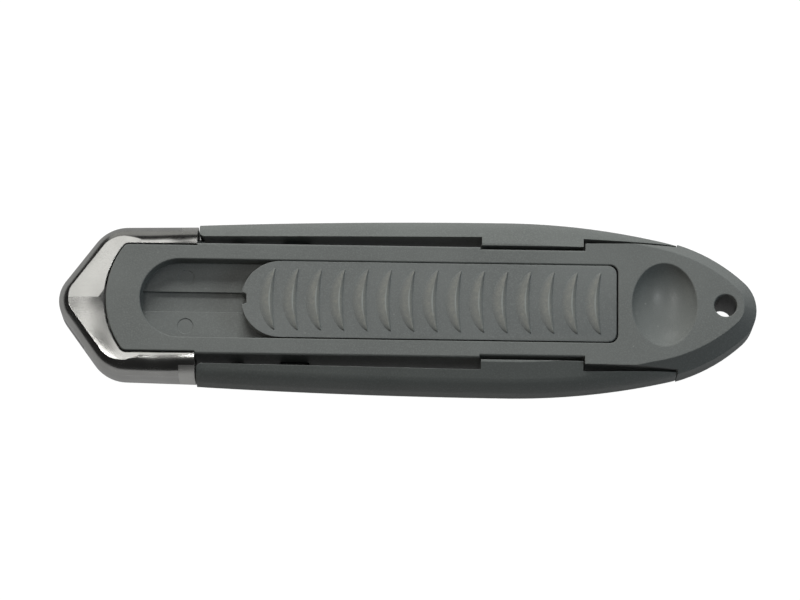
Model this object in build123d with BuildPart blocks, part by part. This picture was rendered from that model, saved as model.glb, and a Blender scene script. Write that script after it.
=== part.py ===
from build123d import *

import os
from math import cos, radians, sin, sqrt, tan

# Squeeze-grip utility knife with a spring-returned blade, in millimetres.
#
# The knife lies on its back: +Z is up through the thumb slider, -X is the cutting end and +X the tail.
# The origin is on the resting plane, under the middle of the body. Left parts are on +Y, right parts on -Y.
#
# Two plastic half shells make the body. A die-cast cap closes the nose. The thumb slider runs in a trough in
# the top shell and carries the blade carrier below it through a slot. A tension spring draws the carrier back.
# A grip lever lies along each side. It turns on a pin at the tail, is pushed out by a small spring near the
# nose, and when squeezed sets a toothed steel catch into the rack on the side of the carrier.

# ---------------------------------------------------------------- body
LENGTH = 155.0  # nose tip to tail tip
THICKNESS = 16.0  # back plane to top plane
SIDE_WALL = 2.7  # body wall beside the blade channel
SKIN = 1.6  # wall under the carrier, and behind the dimple
SEAT_STEP = 0.5  # the body is this much narrower inside the cap and beside the tabs
RIM_RADIUS = 0.45  # rounding of the body's long edges
EDGE_RADIUS = 0.3  # rounding of the other edges that a hand meets
PLATE_SETBACK = 10.6  # nose tip to the front of the body plate
PLATE_FRONT_RADIUS = 20.0
PLATE_CORNER_RADIUS = 1.5

# ---------------------------------------------------------------- blade and travel
BLADE_LENGTH = 61.0
BLADE_WIDTH = 19.0
BLADE_THICKNESS = 0.6
BLADE_BACK_LENGTH = 33.0  # the short, blunt edge
BLADE_SETBACK = 7.5  # nose tip to the blade's point, drawn in
BLADE_HOLE_RADIUS = 1.7
BLADE_HOLE_PITCH = 18.1
BLADE_NOTCH_PITCH = 17.0
BLADE_EDGE_WIDTH = 1.2  # width of the ground bevel
BLADE_EDGE_DEPTH = 0.24  # of the bevel, into the blade's thickness
BLADE_NOTCH_DEPTH = 1.2  # back edge to the middle of a notch
NOTCH_PLAY = 0.1  # between the stud and its notch
BLADE_PLAY = 0.4  # each side of the blade in its channel
RACK_PITCH = 2.0
TRAVEL_STEPS = 11  # the travel is a whole number of rack teeth
TRAVEL = RACK_PITCH * TRAVEL_STEPS

# ---------------------------------------------------------------- thumb slider and its trough
TROUGH_SETBACK = 18.2  # nose tip to the front of the trough
TROUGH_TAIL_GAP = 31.0  # rear of the trough to the tail tip
TROUGH_HALF = 8.85
TROUGH_DEPTH = 4.0
TROUGH_FLOOR = 1.4
SLIDER_GAP = 0.2  # beside the slider
END_PLAY = 0.35  # before and behind the slider at the ends of its travel
SLIDER_WALL = 1.4
SLIDER_CORNER = 1.8
GROOVE_WIDTH = 4.5
GROOVE_DEPTH = 0.9
KEY_GAP = 0.2  # each side of the slider's key in the groove
STEM_LENGTH = 9.0
RUN_GAP = 0.15  # under pieces that slide
RIDGE_PITCH = 5.15
RIDGE_HALF = 7.1  # half the chord of a ridge
RIDGE_HEIGHT = 0.55
RIDGE_CREST_BOW = 1.7  # bow of the crest line
RIDGE_TOE_BOW = 3.6  # bow of the line where the ridge starts
RIDGE_FALL = 1.0  # width of the slope behind the crest
RIDGE_END = 4.7  # rear end of the slider to the last crest
RIDGE_FRONT = 5.8  # least distance from the front end of the slider to the first crest
RIDGE_SINK = 0.2  # a ridge's root in the slider
SLIDER_RIM = 0.2
NOTCH_WIDTH = 2.4
NOTCH_DEPTH = 1.3
MARK_RADIUS = 1.75
MARK_DEPTH = 0.12
MARK_SETBACK = 28.2  # nose tip to the ejector marks
MARK_OFFSET = 5.5

# ---------------------------------------------------------------- grip levers
SQUEEZE_GAP = 0.5  # body side to the squeezed lever, at the nose end
LEVER_BOW = 0.65  # the lever's inner line stands this much further out by the tab
LEVER_FRONT_THICK = 3.45
LEVER_TAB_THICK = 4.4
LEVER_EDGE = 0.2  # the levers are this much lower than the body, top and bottom
LEVER_SLOPE_HEIGHT = 2.9
LEVER_SLOPE_WIDTH = 6.0
LEVER_CREASE_RADIUS = 4.5
LEVER_END_RADIUS = 1.2
TAB_FRONT_GAP = 61.2  # tab's front end to the tail tip
TAB_LENGTH = 22.6
TAB_CLEARANCE = 0.37  # body to the squeezed lever's tab
TAB_END_GAP = 0.35
REAR_GAP = 1.4  # lever to the wide part of the body, behind the tab
LEVER_TAIL_GAP = 17.8  # rear end of the levers to the tail tip
TIP_THICK = 0.45
TIP_GAP = 0.45  # lever tip to the body inside it
TIP_END_GAP = 0.2  # lever tip to the body behind it
SWELL_GAP = 55.5  # widest place to the tail tip
TAIL_ARC_ANGLES = (13.0, 30.0)  # turned by the first and second tail arcs, the third turns the rest
TAIL_RADIUS = 8.5
TAIL_SLOPE_WIDTH = 3.0
TAIL_SLOPE_HEIGHT = 4.2

# ---------------------------------------------------------------- pivots, catches and springs
PIVOT_GAP = 21.5  # lever pivot to the tail tip
PIVOT_RADIUS = 1.0
PIVOT_HALF_LENGTH = 5.2
PIVOT_INSET = 2.2  # pivot axis to the body's side
PIN_PLAY = 0.02  # pins in the shells
RUNNING_PLAY = 0.05  # pins in what turns on them
EYE_RADIUS = 2.3
EYE_HEIGHT = 3.2
EYE_CLEARANCE = 0.3
SQUEEZE_ANGLE = 0.75  # degrees
CATCH_SETBACK = 52.5  # nose tip to the middle of the catch
CATCH_END = 0.4  # of the catch, before its first tooth and behind its last
CATCH_HEIGHT = 2.1
CATCH_BLADE_GAP = 0.2  # under the blade
CATCH_ROOT = 2.3  # depth of the catch in the lever
CATCH_REST_GAP = 0.4  # catch teeth to carrier, not squeezed
TOOTH_HEIGHT = 0.9
TOOTH_BASE = 1.2
TOOTH_TIP = 0.3
RACK_DEPTH = 1.1
RACK_MOUTH = 1.8
RACK_FLOOR = 0.7
LEVER_SPRING_SETBACK = 39.5  # nose tip to the lever springs
LEVER_SPRING_RADIUS = 1.8
LEVER_SPRING_HEIGHT = 5.4  # spring axis over the back plane
LEVER_SPRING_WIRE = 0.45
SPRING_PLAY = 0.25  # round a spring in its pocket
SPRING_SEAT_BODY = 1.5
SPRING_SEAT_LEVER = 2.2
TONGUE_LENGTH = 2.6
TONGUE_HEIGHT = 3.4
TONGUE_CLEARANCE = 0.35

# ---------------------------------------------------------------- nose cap
CAP_LENGTH = 30.6
CAP_STEP = 0.8  # the levers stand this much wider than the rear of the cap
CAP_TAPER = 0.4  # the cap is this much narrower, each side, at its shoulders
CAP_EDGE = 0.25  # the cap is this much lower than the body, top and bottom
CAP_WALL = 1.9
CAP_SEAM = 0.35
CAP_EDGE_RADIUS = 4.2
NOSE_HALF_ANGLE = 53.7  # degrees between a cutting-end face and the long axis
NOSE_TIP_RADIUS = 7.0
SHOULDER_RADIUS = 9.0
FACET_WIDTH = 8.6
FACET_ANGLE = 4.5
CAP_HOLLOW_HEIGHT = 8.0
EAR_SETBACK = 16.5  # nose tip to the shells' ears inside the cap
EAR_REAR_GAP = 2.8  # ears to the levers' tongues
EAR_WIDTH = 2.8
EAR_PLAY = 0.2  # over and under the ears
NOSE_PIN_RADIUS = 1.0
NOSE_PIN_SINK = 0.5
NOSE_PIN_CAP = 0.8  # plastic over the end of a nose pin
SLIT_HEIGHT = 1.0
LEVER_END_GAP = 0.3

# ---------------------------------------------------------------- blade carrier and return spring
CARRIER_PLAY = 0.35  # each side
CHANNEL_SETBACK = 4.9  # front of the body plate to the carrier's channel
CARRIER_FLOOR = 2.5
BLOCK_LENGTH = 25.0
BLOCK_HEAD_GAP = 0.35  # over the carrier's block
CHANNEL_FRONT_GAP = 0.4
CLAMP_LENGTH = 24.0
CLAMP_WIDTH = 13.0
CLAMP_THICK = 1.0
STUD_RADIUS = 1.1
STEM_SETBACK = 4.0  # blade's rear end to the slider's stem
HOOK_PIN_RADIUS = 0.8
COIL_GAP = 0.5  # carrier to the first turn of the spring
HOOK_PLAY = 0.1  # between a pin and the spring's loop
HOOK_PIN_GAP = 3.2  # from the carrier's rear end
POST_RADIUS = 1.1
POST_GAP = 31.5  # spring post to the tail tip
POST_WALL = 1.0  # wall round the spring post
CROSS_WALL = 1.5  # wall across the body behind the spring post
SPRING_RADIUS = 2.1
SPRING_WIRE = 0.55
HOOK_NOTCH_HALF = 2.9
TAIL_POCKET_HALF = 7.0
TAIL_POCKET_SKIN = 4.8
CATCH_WINDOW_GAP = 0.3  # round a catch where it passes the body wall
LIP = 1.0
RAIL_WIDTH = 1.6
RAIL_OFFSET = 5.6
GUIDE_LENGTH = 4.0
GUIDE_WALL = 0.5

# ---------------------------------------------------------------- screws, dimples, lanyard hole
SCREW_RADIUS = 1.1
SCREW_HEAD_RADIUS = 2.0
SCREW_HEAD_HEIGHT = 1.5
SCREW_SINK = 2.2  # depth of a head's recess
HEAD_PLAY = 0.25  # round a screw's head
HEAD_CHAMFER = 0.3
SCREW_LENGTH = 9.0
SCREW_FIT = 0.05
SCREW_OFFSET = 6.9
SCREW_TAIL_GAPS = (46.0, 14.5)  # the pair and the single screw, to the tail tip
BOSS_RADIUS = 2.9
SMALL_SCREW_RADIUS = 1.0
SMALL_HEAD_RADIUS = 1.9
SMALL_HEAD_HEIGHT = 0.9
SMALL_HEAD_SINK = 0.2
SCREW_END_GAP = 0.4  # end of a small screw to the end of its hole
CROSS_WIDTH = 0.55
CROSS_DEPTH = 0.6
DIMPLE_TAIL_GAP = 20.7
DIMPLE_HALF_LENGTH = 7.2
DIMPLE_HALF_WIDTH = 9.4
DIMPLE_DEPTH = 3.2
DIMPLE_LIFT = 1.0  # centre of the dimple's ellipsoid over the surface
HOLE_TAIL_GAP = 7.2
HOLE_RADIUS = 2.5
PANEL_LENGTH = 44.0
PANEL_HALF = 7.6
PANEL_DEPTH = 0.4
PANEL_SETBACK = 24.0  # nose tip to the panel on the back

# ---------------------------------------------------------------- places worked out from the sizes
nose_x = -LENGTH / 2
tail_x = LENGTH / 2
mid_z = THICKNESS / 2
channel_half = BLADE_WIDTH / 2 + BLADE_PLAY
plate_half = channel_half + SIDE_WALL
seat_half = plate_half - SEAT_STEP
pivot_x = tail_x - PIVOT_GAP
cap_rear_x = nose_x + CAP_LENGTH
lever_front_x = cap_rear_x + LEVER_END_GAP
tab_front_x = tail_x - TAB_FRONT_GAP
squeeze_rate = sin(radians(SQUEEZE_ANGLE))
lever_in_front = plate_half + (pivot_x - lever_front_x) * squeeze_rate + SQUEEZE_GAP
lever_in_tab = lever_in_front + LEVER_BOW
grip_front_half = lever_in_front + LEVER_FRONT_THICK
grip_half = lever_in_tab + LEVER_TAB_THICK
tab_half = seat_half + (pivot_x - tab_front_x) * squeeze_rate + TAB_CLEARANCE
wide_half = lever_in_tab - REAR_GAP

plate_front_x = nose_x + PLATE_SETBACK
swell_x = tail_x - SWELL_GAP
tab_rear_x = tab_front_x + TAB_LENGTH
lever_rear_x = tail_x - LEVER_TAIL_GAP

trough_front_x = nose_x + TROUGH_SETBACK
trough_rear_x = tail_x - TROUGH_TAIL_GAP
trough_z = THICKNESS - TROUGH_DEPTH
groove_z = trough_z - GROOVE_DEPTH
channel_top = trough_z - TROUGH_FLOOR
slider_front_x = trough_front_x + TRAVEL + END_PLAY
slider_rear_x = trough_rear_x - END_PLAY
slider_half = TROUGH_HALF - SLIDER_GAP

blade_low = mid_z - BLADE_THICKNESS / 2
blade_top = mid_z + BLADE_THICKNESS / 2
blade_front_x = nose_x + BLADE_SETBACK
blade_rear_x = blade_front_x + BLADE_LENGTH
channel_front_x = plate_front_x + CHANNEL_SETBACK
carrier_front_x = channel_front_x + CHANNEL_FRONT_GAP + TRAVEL
carrier_low = blade_low - CARRIER_FLOOR
carrier_half = channel_half - CARRIER_PLAY
block_rear_x = blade_rear_x + BLOCK_LENGTH
block_top = channel_top - BLOCK_HEAD_GAP
stem_x = blade_rear_x + STEM_SETBACK + STEM_LENGTH / 2
hook_x = block_rear_x - HOOK_PIN_GAP
post_x = tail_x - POST_GAP

lever_low = LEVER_EDGE
lever_top = THICKNESS - LEVER_EDGE
catch_x = nose_x + CATCH_SETBACK
catch_tip_y = carrier_half + CATCH_REST_GAP
catch_low = blade_low - CATCH_BLADE_GAP - CATCH_HEIGHT
lever_spring_x = nose_x + LEVER_SPRING_SETBACK
hole_x = tail_x - HOLE_TAIL_GAP
dimple_x = tail_x - DIMPLE_TAIL_GAP
pair_x, single_x = (tail_x - gap for gap in SCREW_TAIL_GAPS)
screw_places = [(pair_x, SCREW_OFFSET), (pair_x, -SCREW_OFFSET), (single_x, 0)]


def tail_arcs():
    """The three arcs from the widest place to the tail tip, each as (radius, turn in degrees)."""
    first, second = TAIL_ARC_ANGLES
    s1, c1 = sin(radians(first)), cos(radians(first))
    s2, c2 = sin(radians(first + second)), cos(radians(first + second))
    along = SWELL_GAP - TAIL_RADIUS * (1 - s2)
    across = grip_half - TAIL_RADIUS * c2
    det = s1 * (c1 - c2) - (s2 - s1) * (1 - c1)
    radius_1 = (along * (c1 - c2) - across * (s2 - s1)) / det
    radius_2 = (across * s1 - along * (1 - c1)) / det
    return [(radius_1, first), (radius_2, second), (TAIL_RADIUS, 90 - first - second)]


def outline_half(x):
    """Half width of the outline at x, behind its widest place."""
    centre_x, centre_y, turned = swell_x, grip_half, 0.0
    for radius, turn in tail_arcs():
        centre_x -= radius * sin(radians(turned))
        centre_y -= radius * cos(radians(turned))
        turned += turn
        if x <= centre_x + radius * sin(radians(turned)):
            return centre_y + sqrt(radius**2 - (x - centre_x) ** 2)
        centre_x += radius * sin(radians(turned))
        centre_y += radius * cos(radians(turned))
    return 0.0


def grip_outline(front_x):
    """Left half of the outline, from the levers' front end (or a place before it) to the tail, as a face."""
    with BuildSketch() as plan:
        with BuildLine():
            swell = (swell_x, grip_half)
            TangentArc(swell, (front_x, grip_front_half), tangent=(-1, 0))
            Polyline((front_x, grip_front_half), (front_x, 0), (tail_x, 0))
            end, heading = Vector(*swell), Vector(1, 0)
            for radius, turn in tail_arcs():
                arc = JernArc(end, heading, radius, -turn)
                end, heading = arc @ 1, arc % 1
        make_face()
    return plan.sketch


def lever_inner(x):
    """Distance of the lever's inner line from the middle, before its tab."""
    share = (x - lever_front_x) / (tab_front_x - lever_front_x)
    return lever_in_front + LEVER_BOW * share


def plate_plan(half, front_x, rear_x, corner_radius):
    """Plan of the round-fronted plate that the nose cap frames."""
    reach = PLATE_FRONT_RADIUS - sqrt(PLATE_FRONT_RADIUS**2 - half**2)
    with BuildSketch() as plan:
        with BuildLine():
            ThreePointArc((front_x + reach, -half), (front_x, 0), (front_x + reach, half))
            Polyline((front_x + reach, half), (rear_x, half), (rear_x, -half), (front_x + reach, -half))
        make_face()
        fillet(vertices().group_by(Axis.X)[0], corner_radius)
    return plan.sketch


def span_box(x, y, z, mode=Mode.ADD):
    """A block between the low and high values given for each axis."""
    with Locations(((x[0] + x[1]) / 2, (y[0] + y[1]) / 2, (z[0] + z[1]) / 2)):
        Box(x[1] - x[0], y[1] - y[0], z[1] - z[0], mode=mode)


def rod(x, y, z, radius, mode=Mode.ADD):
    """An upright cylinder between the low and high values of z."""
    with Locations((x, y, (z[0] + z[1]) / 2)):
        Cylinder(radius, z[1] - z[0], mode=mode)


def cross_rod(x, y, z, radius, mode=Mode.ADD):
    """A cylinder along Y between the low and high values of y."""
    with Locations(Location((x, (y[0] + y[1]) / 2, z), (90, 0, 0))):
        Cylinder(radius, y[1] - y[0], mode=mode)


def slope_rims(top_z, height, width):
    """Slopes the round rims of the blank being built, at top_z and at the same height from the back."""
    for level in (top_z, THICKNESS - top_z):
        face = faces().filter_by_position(Axis.Z, level - 0.01, level + 0.01).sort_by(SortBy.AREA)[-1]
        chamfer(face.edges().filter_by(GeomType.CIRCLE), length=width, length2=height, reference=face)


# ---------------------------------------------------------------- blanks shared by the pieces
pivot_share = (pivot_x - tab_rear_x) / (lever_rear_x - tab_rear_x)
lever_tip_y = outline_half(lever_rear_x) - TIP_THICK
body_tip_y = lever_tip_y - TIP_GAP
pivot_y = wide_half + (body_tip_y - wide_half) * pivot_share - PIVOT_INSET
arm_share = (pivot_x - EYE_RADIUS - tab_rear_x) / (lever_rear_x - tab_rear_x)
arm_root_y = lever_in_tab + (lever_tip_y - lever_in_tab) * arm_share + TIP_THICK
eye_z = (mid_z - EYE_HEIGHT / 2, mid_z + EYE_HEIGHT / 2)
outside = grip_half + 5

with BuildPart() as lever_blank:
    with BuildSketch(Plane.XY.offset(lever_low)):
        add(grip_outline(lever_front_x))
    extrude(amount=lever_top - lever_low)
    slope_rims(lever_top, LEVER_SLOPE_HEIGHT, LEVER_SLOPE_WIDTH)
    for crease_z in (lever_top - LEVER_SLOPE_HEIGHT, lever_low + LEVER_SLOPE_HEIGHT):
        creases = lever_blank.edges().filter_by(GeomType.CIRCLE)
        fillet(creases.filter_by_position(Axis.Z, crease_z - 0.01, crease_z + 0.01), LEVER_CREASE_RADIUS)

with BuildPart() as tail_form:
    with BuildSketch():
        add(grip_outline(plate_front_x - 1))
    extrude(amount=THICKNESS)
    slope_rims(THICKNESS, TAIL_SLOPE_HEIGHT, TAIL_SLOPE_WIDTH)
    mirror(about=Plane.XZ)

# The body's outline: narrow inside the cap and beside the tabs, wide behind them, whole at the tail.
with BuildPart() as body_blank:
    with BuildSketch() as body_plan:
        add(plate_plan(seat_half, plate_front_x, cap_rear_x, PLATE_CORNER_RADIUS))
        with BuildLine():
            Polyline(
                (cap_rear_x, 0),
                (cap_rear_x, plate_half),
                (tab_front_x - TAB_END_GAP, plate_half),
                (tab_front_x - TAB_END_GAP, seat_half),
                (tab_rear_x + TAB_END_GAP, seat_half),
                (tab_rear_x + TAB_END_GAP, wide_half),
                (lever_rear_x, body_tip_y),
                (lever_rear_x + TIP_END_GAP, body_tip_y),
                (lever_rear_x + TIP_END_GAP, outside),
                (tail_x + 1, outside),
                (tail_x + 1, 0),
                close=True,
            )
        make_face()
        mirror(about=Plane.XZ)
    extrude(amount=THICKNESS)
    add(tail_form.part, mode=Mode.INTERSECT)

# ---------------------------------------------------------------- room inside the body
catch_z = (catch_low, catch_low + CATCH_HEIGHT)
catch_length = 2 * (RACK_PITCH + TOOTH_BASE / 2 + CATCH_END)
catch_reach = (catch_x - catch_length / 2, catch_x + catch_length / 2)
slit_z = (mid_z - SLIT_HEIGHT / 2, mid_z + SLIT_HEIGHT / 2)
guide_x = (channel_front_x - GUIDE_WALL - GUIDE_LENGTH, channel_front_x - GUIDE_WALL)
guide_half = channel_half + GUIDE_WALL
guide_z = (slit_z[0] - GUIDE_WALL, slit_z[1] + GUIDE_WALL)
channel_rear_x = post_x + BOSS_RADIUS + POST_WALL
tail_pocket_x = (channel_rear_x + CROSS_WALL, single_x - BOSS_RADIUS - CROSS_WALL / 5)
slot_x = (stem_x - STEM_LENGTH / 2 - TRAVEL - KEY_GAP, stem_x + STEM_LENGTH / 2 + KEY_GAP)

with BuildPart() as body_room:
    span_box((channel_front_x, channel_rear_x), (-channel_half, channel_half), (SKIN, channel_top))
    span_box((plate_front_x - 1, channel_front_x), (-channel_half, channel_half), slit_z)
    span_box(guide_x, (-guide_half, guide_half), guide_z)
    tail_pocket_z = (TAIL_POCKET_SKIN, THICKNESS - TAIL_POCKET_SKIN)
    span_box(tail_pocket_x, (-TAIL_POCKET_HALF, TAIL_POCKET_HALF), tail_pocket_z)
    rod(hole_x, 0, (-1, THICKNESS + 1), HOLE_RADIUS)
    for side in (1, -1):
        window_y = sorted((side * (channel_half - 1), side * (plate_half + 1)))
        window_x = (catch_reach[0] - CATCH_WINDOW_GAP, catch_reach[1] + CATCH_WINDOW_GAP)
        span_box(window_x, window_y, (catch_low - CATCH_WINDOW_GAP, mid_z))
        seat_y = sorted((side * (plate_half - SPRING_SEAT_BODY), side * (plate_half + 1)))
        cross_rod(lever_spring_x, seat_y, LEVER_SPRING_HEIGHT, LEVER_SPRING_RADIUS + SPRING_PLAY)
        room_z = (eye_z[0] - EYE_CLEARANCE, eye_z[1] + EYE_CLEARANCE)
        rod(pivot_x, side * pivot_y, room_z, EYE_RADIUS + EYE_CLEARANCE)
        arm_x = (pivot_x - EYE_RADIUS - EYE_CLEARANCE, pivot_x + EYE_RADIUS + EYE_CLEARANCE)
        span_box(arm_x, sorted((side * pivot_y, side * outside)), room_z)
        pin_z = (mid_z - PIVOT_HALF_LENGTH, mid_z + PIVOT_HALF_LENGTH)
        rod(pivot_x, side * pivot_y, pin_z, PIVOT_RADIUS + PIN_PLAY)

tongue_front_x = lever_front_x - TONGUE_LENGTH
ear_x = (nose_x + EAR_SETBACK, tongue_front_x - EAR_REAR_GAP)
ear_half = seat_half + EAR_WIDTH
ear_height = CAP_HOLLOW_HEIGHT / 2 - EAR_PLAY
nose_pin_x = sum(ear_x) / 2
nose_pin_y = seat_half + EAR_WIDTH / 2
nose_pin_z = (CAP_EDGE + NOSE_PIN_SINK, mid_z + ear_height - NOSE_PIN_CAP)
screw_z = (SCREW_SINK, SCREW_SINK + SCREW_LENGTH)
panel_x = (nose_x + PANEL_SETBACK, nose_x + PANEL_SETBACK + PANEL_LENGTH)
post_z = (SKIN / 2, channel_top + TROUGH_FLOOR / 2)


def round_side_rims(solid, z):
    """Rounds the long straight edges of the body at height z, between the cap and the tail."""
    level = solid.edges().filter_by_position(Axis.Z, z - 0.01, z + 0.01).filter_by(Axis.X)
    beside = [e for e in level if abs(e.center().Y) > seat_half - 0.1 and e.center().X > cap_rear_x]
    fillet(beside, RIM_RADIUS)


def outer_edges(z):
    """Edges of the solid being built that lie at height z."""
    return edges().filter_by_position(Axis.Z, z - 0.01, z + 0.01)


def round_tail_rims(z):
    """Rounds the crease round the tail and the mouth of the lanyard hole at height z."""
    arcs = outer_edges(z).filter_by(GeomType.CIRCLE)
    crease = [e for e in arcs if abs(e.center().Y) > HOLE_RADIUS + 1 and e.length > 2 * HOLE_RADIUS]
    fillet([e for e in crease if e.center().X > dimple_x - 1], EDGE_RADIUS)
    mouth = [e for e in outer_edges(z).filter_by(GeomType.CIRCLE) if abs(e.arc_center.X - hole_x) < 0.1]
    fillet([e for e in mouth if abs(e.radius - HOLE_RADIUS) < 0.1], EDGE_RADIUS)


with BuildPart() as bottom_shell:
    add(body_blank.part)
    round_side_rims(bottom_shell, 0)
    split(bisect_by=Plane.XY.offset(mid_z), keep=Keep.BOTTOM)
    for side in (1, -1):
        span_box(ear_x, sorted((side * (seat_half - 1), side * ear_half)), (mid_z - ear_height, mid_z))
    add(body_room.part, mode=Mode.SUBTRACT)
    # Rails under the carrier, bosses for the screws and for the spring post.
    for side in (1, -1):
        rail_y = sorted((side * (RAIL_OFFSET - RAIL_WIDTH / 2), side * (RAIL_OFFSET + RAIL_WIDTH / 2)))
        rail_x = (channel_front_x, block_rear_x)
        span_box(rail_x, rail_y, (SKIN, carrier_low - RUN_GAP))
    for x, y in screw_places:
        rod(x, y, (SKIN / 2, mid_z), BOSS_RADIUS)
    rod(post_x, 0, (SKIN / 2, mid_z - SPRING_RADIUS - SPRING_PLAY), POST_RADIUS + POST_WALL)
    for x, y in screw_places:
        rod(x, y, (-1, SCREW_SINK), SCREW_HEAD_RADIUS + HEAD_PLAY, mode=Mode.SUBTRACT)
        rod(x, y, (0, mid_z), SCREW_RADIUS + SCREW_FIT, mode=Mode.SUBTRACT)
    rod(post_x, 0, post_z, POST_RADIUS + PIN_PLAY, mode=Mode.SUBTRACT)
    for side in (1, -1):
        rod(nose_pin_x, side * nose_pin_y, (mid_z - ear_height - 1, mid_z), NOSE_PIN_RADIUS + PIN_PLAY,
            mode=Mode.SUBTRACT)
    with BuildSketch() as panel:
        with Locations((sum(panel_x) / 2, 0)):
            RectangleRounded(PANEL_LENGTH, 2 * PANEL_HALF, 3)
    extrude(amount=PANEL_DEPTH, mode=Mode.SUBTRACT)
    round_tail_rims(0)
bottom_shell.part.label = "bottom_shell"

with BuildPart() as dimple_form:
    lift_share = DIMPLE_LIFT / (DIMPLE_LIFT + DIMPLE_DEPTH)
    widen = 1 / sqrt(1 - lift_share**2)
    Sphere(1)
    scale(by=(DIMPLE_HALF_LENGTH * widen, DIMPLE_HALF_WIDTH * widen, DIMPLE_LIFT + DIMPLE_DEPTH))

with BuildPart() as top_shell:
    add(body_blank.part)
    round_side_rims(top_shell, THICKNESS)
    split(bisect_by=Plane.XY.offset(mid_z), keep=Keep.TOP)
    for side in (1, -1):
        span_box(ear_x, sorted((side * (seat_half - 1), side * ear_half)), (mid_z, mid_z + ear_height))
    add(body_room.part, mode=Mode.SUBTRACT)
    for x, y in screw_places:
        rod(x, y, (mid_z, channel_top + TROUGH_FLOOR / 2), BOSS_RADIUS)
    for x, y in screw_places:
        rod(x, y, (mid_z, screw_z[1]), SCREW_RADIUS, mode=Mode.SUBTRACT)
    rod(post_x, 0, (mid_z, post_z[1]), POST_RADIUS + PIN_PLAY, mode=Mode.SUBTRACT)
    for side in (1, -1):
        rod(nose_pin_x, side * nose_pin_y, (mid_z, nose_pin_z[1]), NOSE_PIN_RADIUS + PIN_PLAY,
            mode=Mode.SUBTRACT)
    # The trough, its guide groove and the slot for the slider's stem.
    trough_length = trough_rear_x - trough_front_x
    with BuildSketch(Plane.XY.offset(THICKNESS)):
        with Locations((trough_front_x + trough_length / 2, 0)):
            trough = Rectangle(trough_length, 2 * TROUGH_HALF)
        fillet(trough.vertices().group_by(Axis.X)[0], TROUGH_HALF - 0.01)
        fillet(vertices().group_by(Axis.X)[-1], SLIDER_CORNER)
    extrude(amount=-TROUGH_DEPTH, mode=Mode.SUBTRACT)
    inside = [e for e in outer_edges(THICKNESS) if abs(e.center().Y) < TROUGH_HALF + 0.1]
    fillet([e for e in inside if trough_front_x - 1 < e.center().X < trough_rear_x + 1], EDGE_RADIUS)
    groove_x = (trough_front_x + END_PLAY, trough_rear_x - SLIDER_WALL)
    span_box(groove_x, (-GROOVE_WIDTH / 2, GROOVE_WIDTH / 2), (groove_z, trough_z), mode=Mode.SUBTRACT)
    span_box(slot_x, (-GROOVE_WIDTH / 2, GROOVE_WIDTH / 2), (channel_top - 1, trough_z), mode=Mode.SUBTRACT)
    for side in (1, -1):
        mark_z = (trough_z - MARK_DEPTH, THICKNESS)
        rod(nose_x + MARK_SETBACK, side * MARK_OFFSET, mark_z, MARK_RADIUS, mode=Mode.SUBTRACT)
    with Locations((dimple_x, 0, THICKNESS + DIMPLE_LIFT)):
        add(dimple_form.part, mode=Mode.SUBTRACT)
    round_tail_rims(THICKNESS)
    fillet(outer_edges(THICKNESS).filter_by(GeomType.BSPLINE), EDGE_RADIUS)
    arcs = outer_edges(THICKNESS).filter_by(GeomType.CIRCLE)
    fillet([e for e in arcs if e.center().X < trough_front_x - 3], EDGE_RADIUS)
top_shell.part.label = "top_shell"

# ---------------------------------------------------------------- nose cap
cap_half = grip_front_half - CAP_STEP
shoulder_half = cap_half - CAP_TAPER
nose_slope = tan(radians(NOSE_HALF_ANGLE))
apex_x = nose_x - NOSE_TIP_RADIUS / sin(radians(NOSE_HALF_ANGLE)) + NOSE_TIP_RADIUS
shoulder_x = apex_x + shoulder_half / nose_slope
cap_z = (CAP_EDGE, THICKNESS - CAP_EDGE)
tongue_half = cap_half - CAP_WALL - TONGUE_CLEARANCE


def cap_outline():
    """Plan of the cap: a rounded V, round shoulders and two long arms."""
    with BuildSketch() as plan:
        with BuildLine():
            corners = [(shoulder_x, -shoulder_half), (apex_x, 0), (shoulder_x, shoulder_half)]
            route = [(cap_rear_x, -cap_half), *corners, (cap_rear_x, cap_half)]
            outline = FilletPolyline(*route, radius=[SHOULDER_RADIUS, NOSE_TIP_RADIUS, SHOULDER_RADIUS])
            Line(outline @ 1, outline @ 0)
        make_face()
    return plan.sketch


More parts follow.
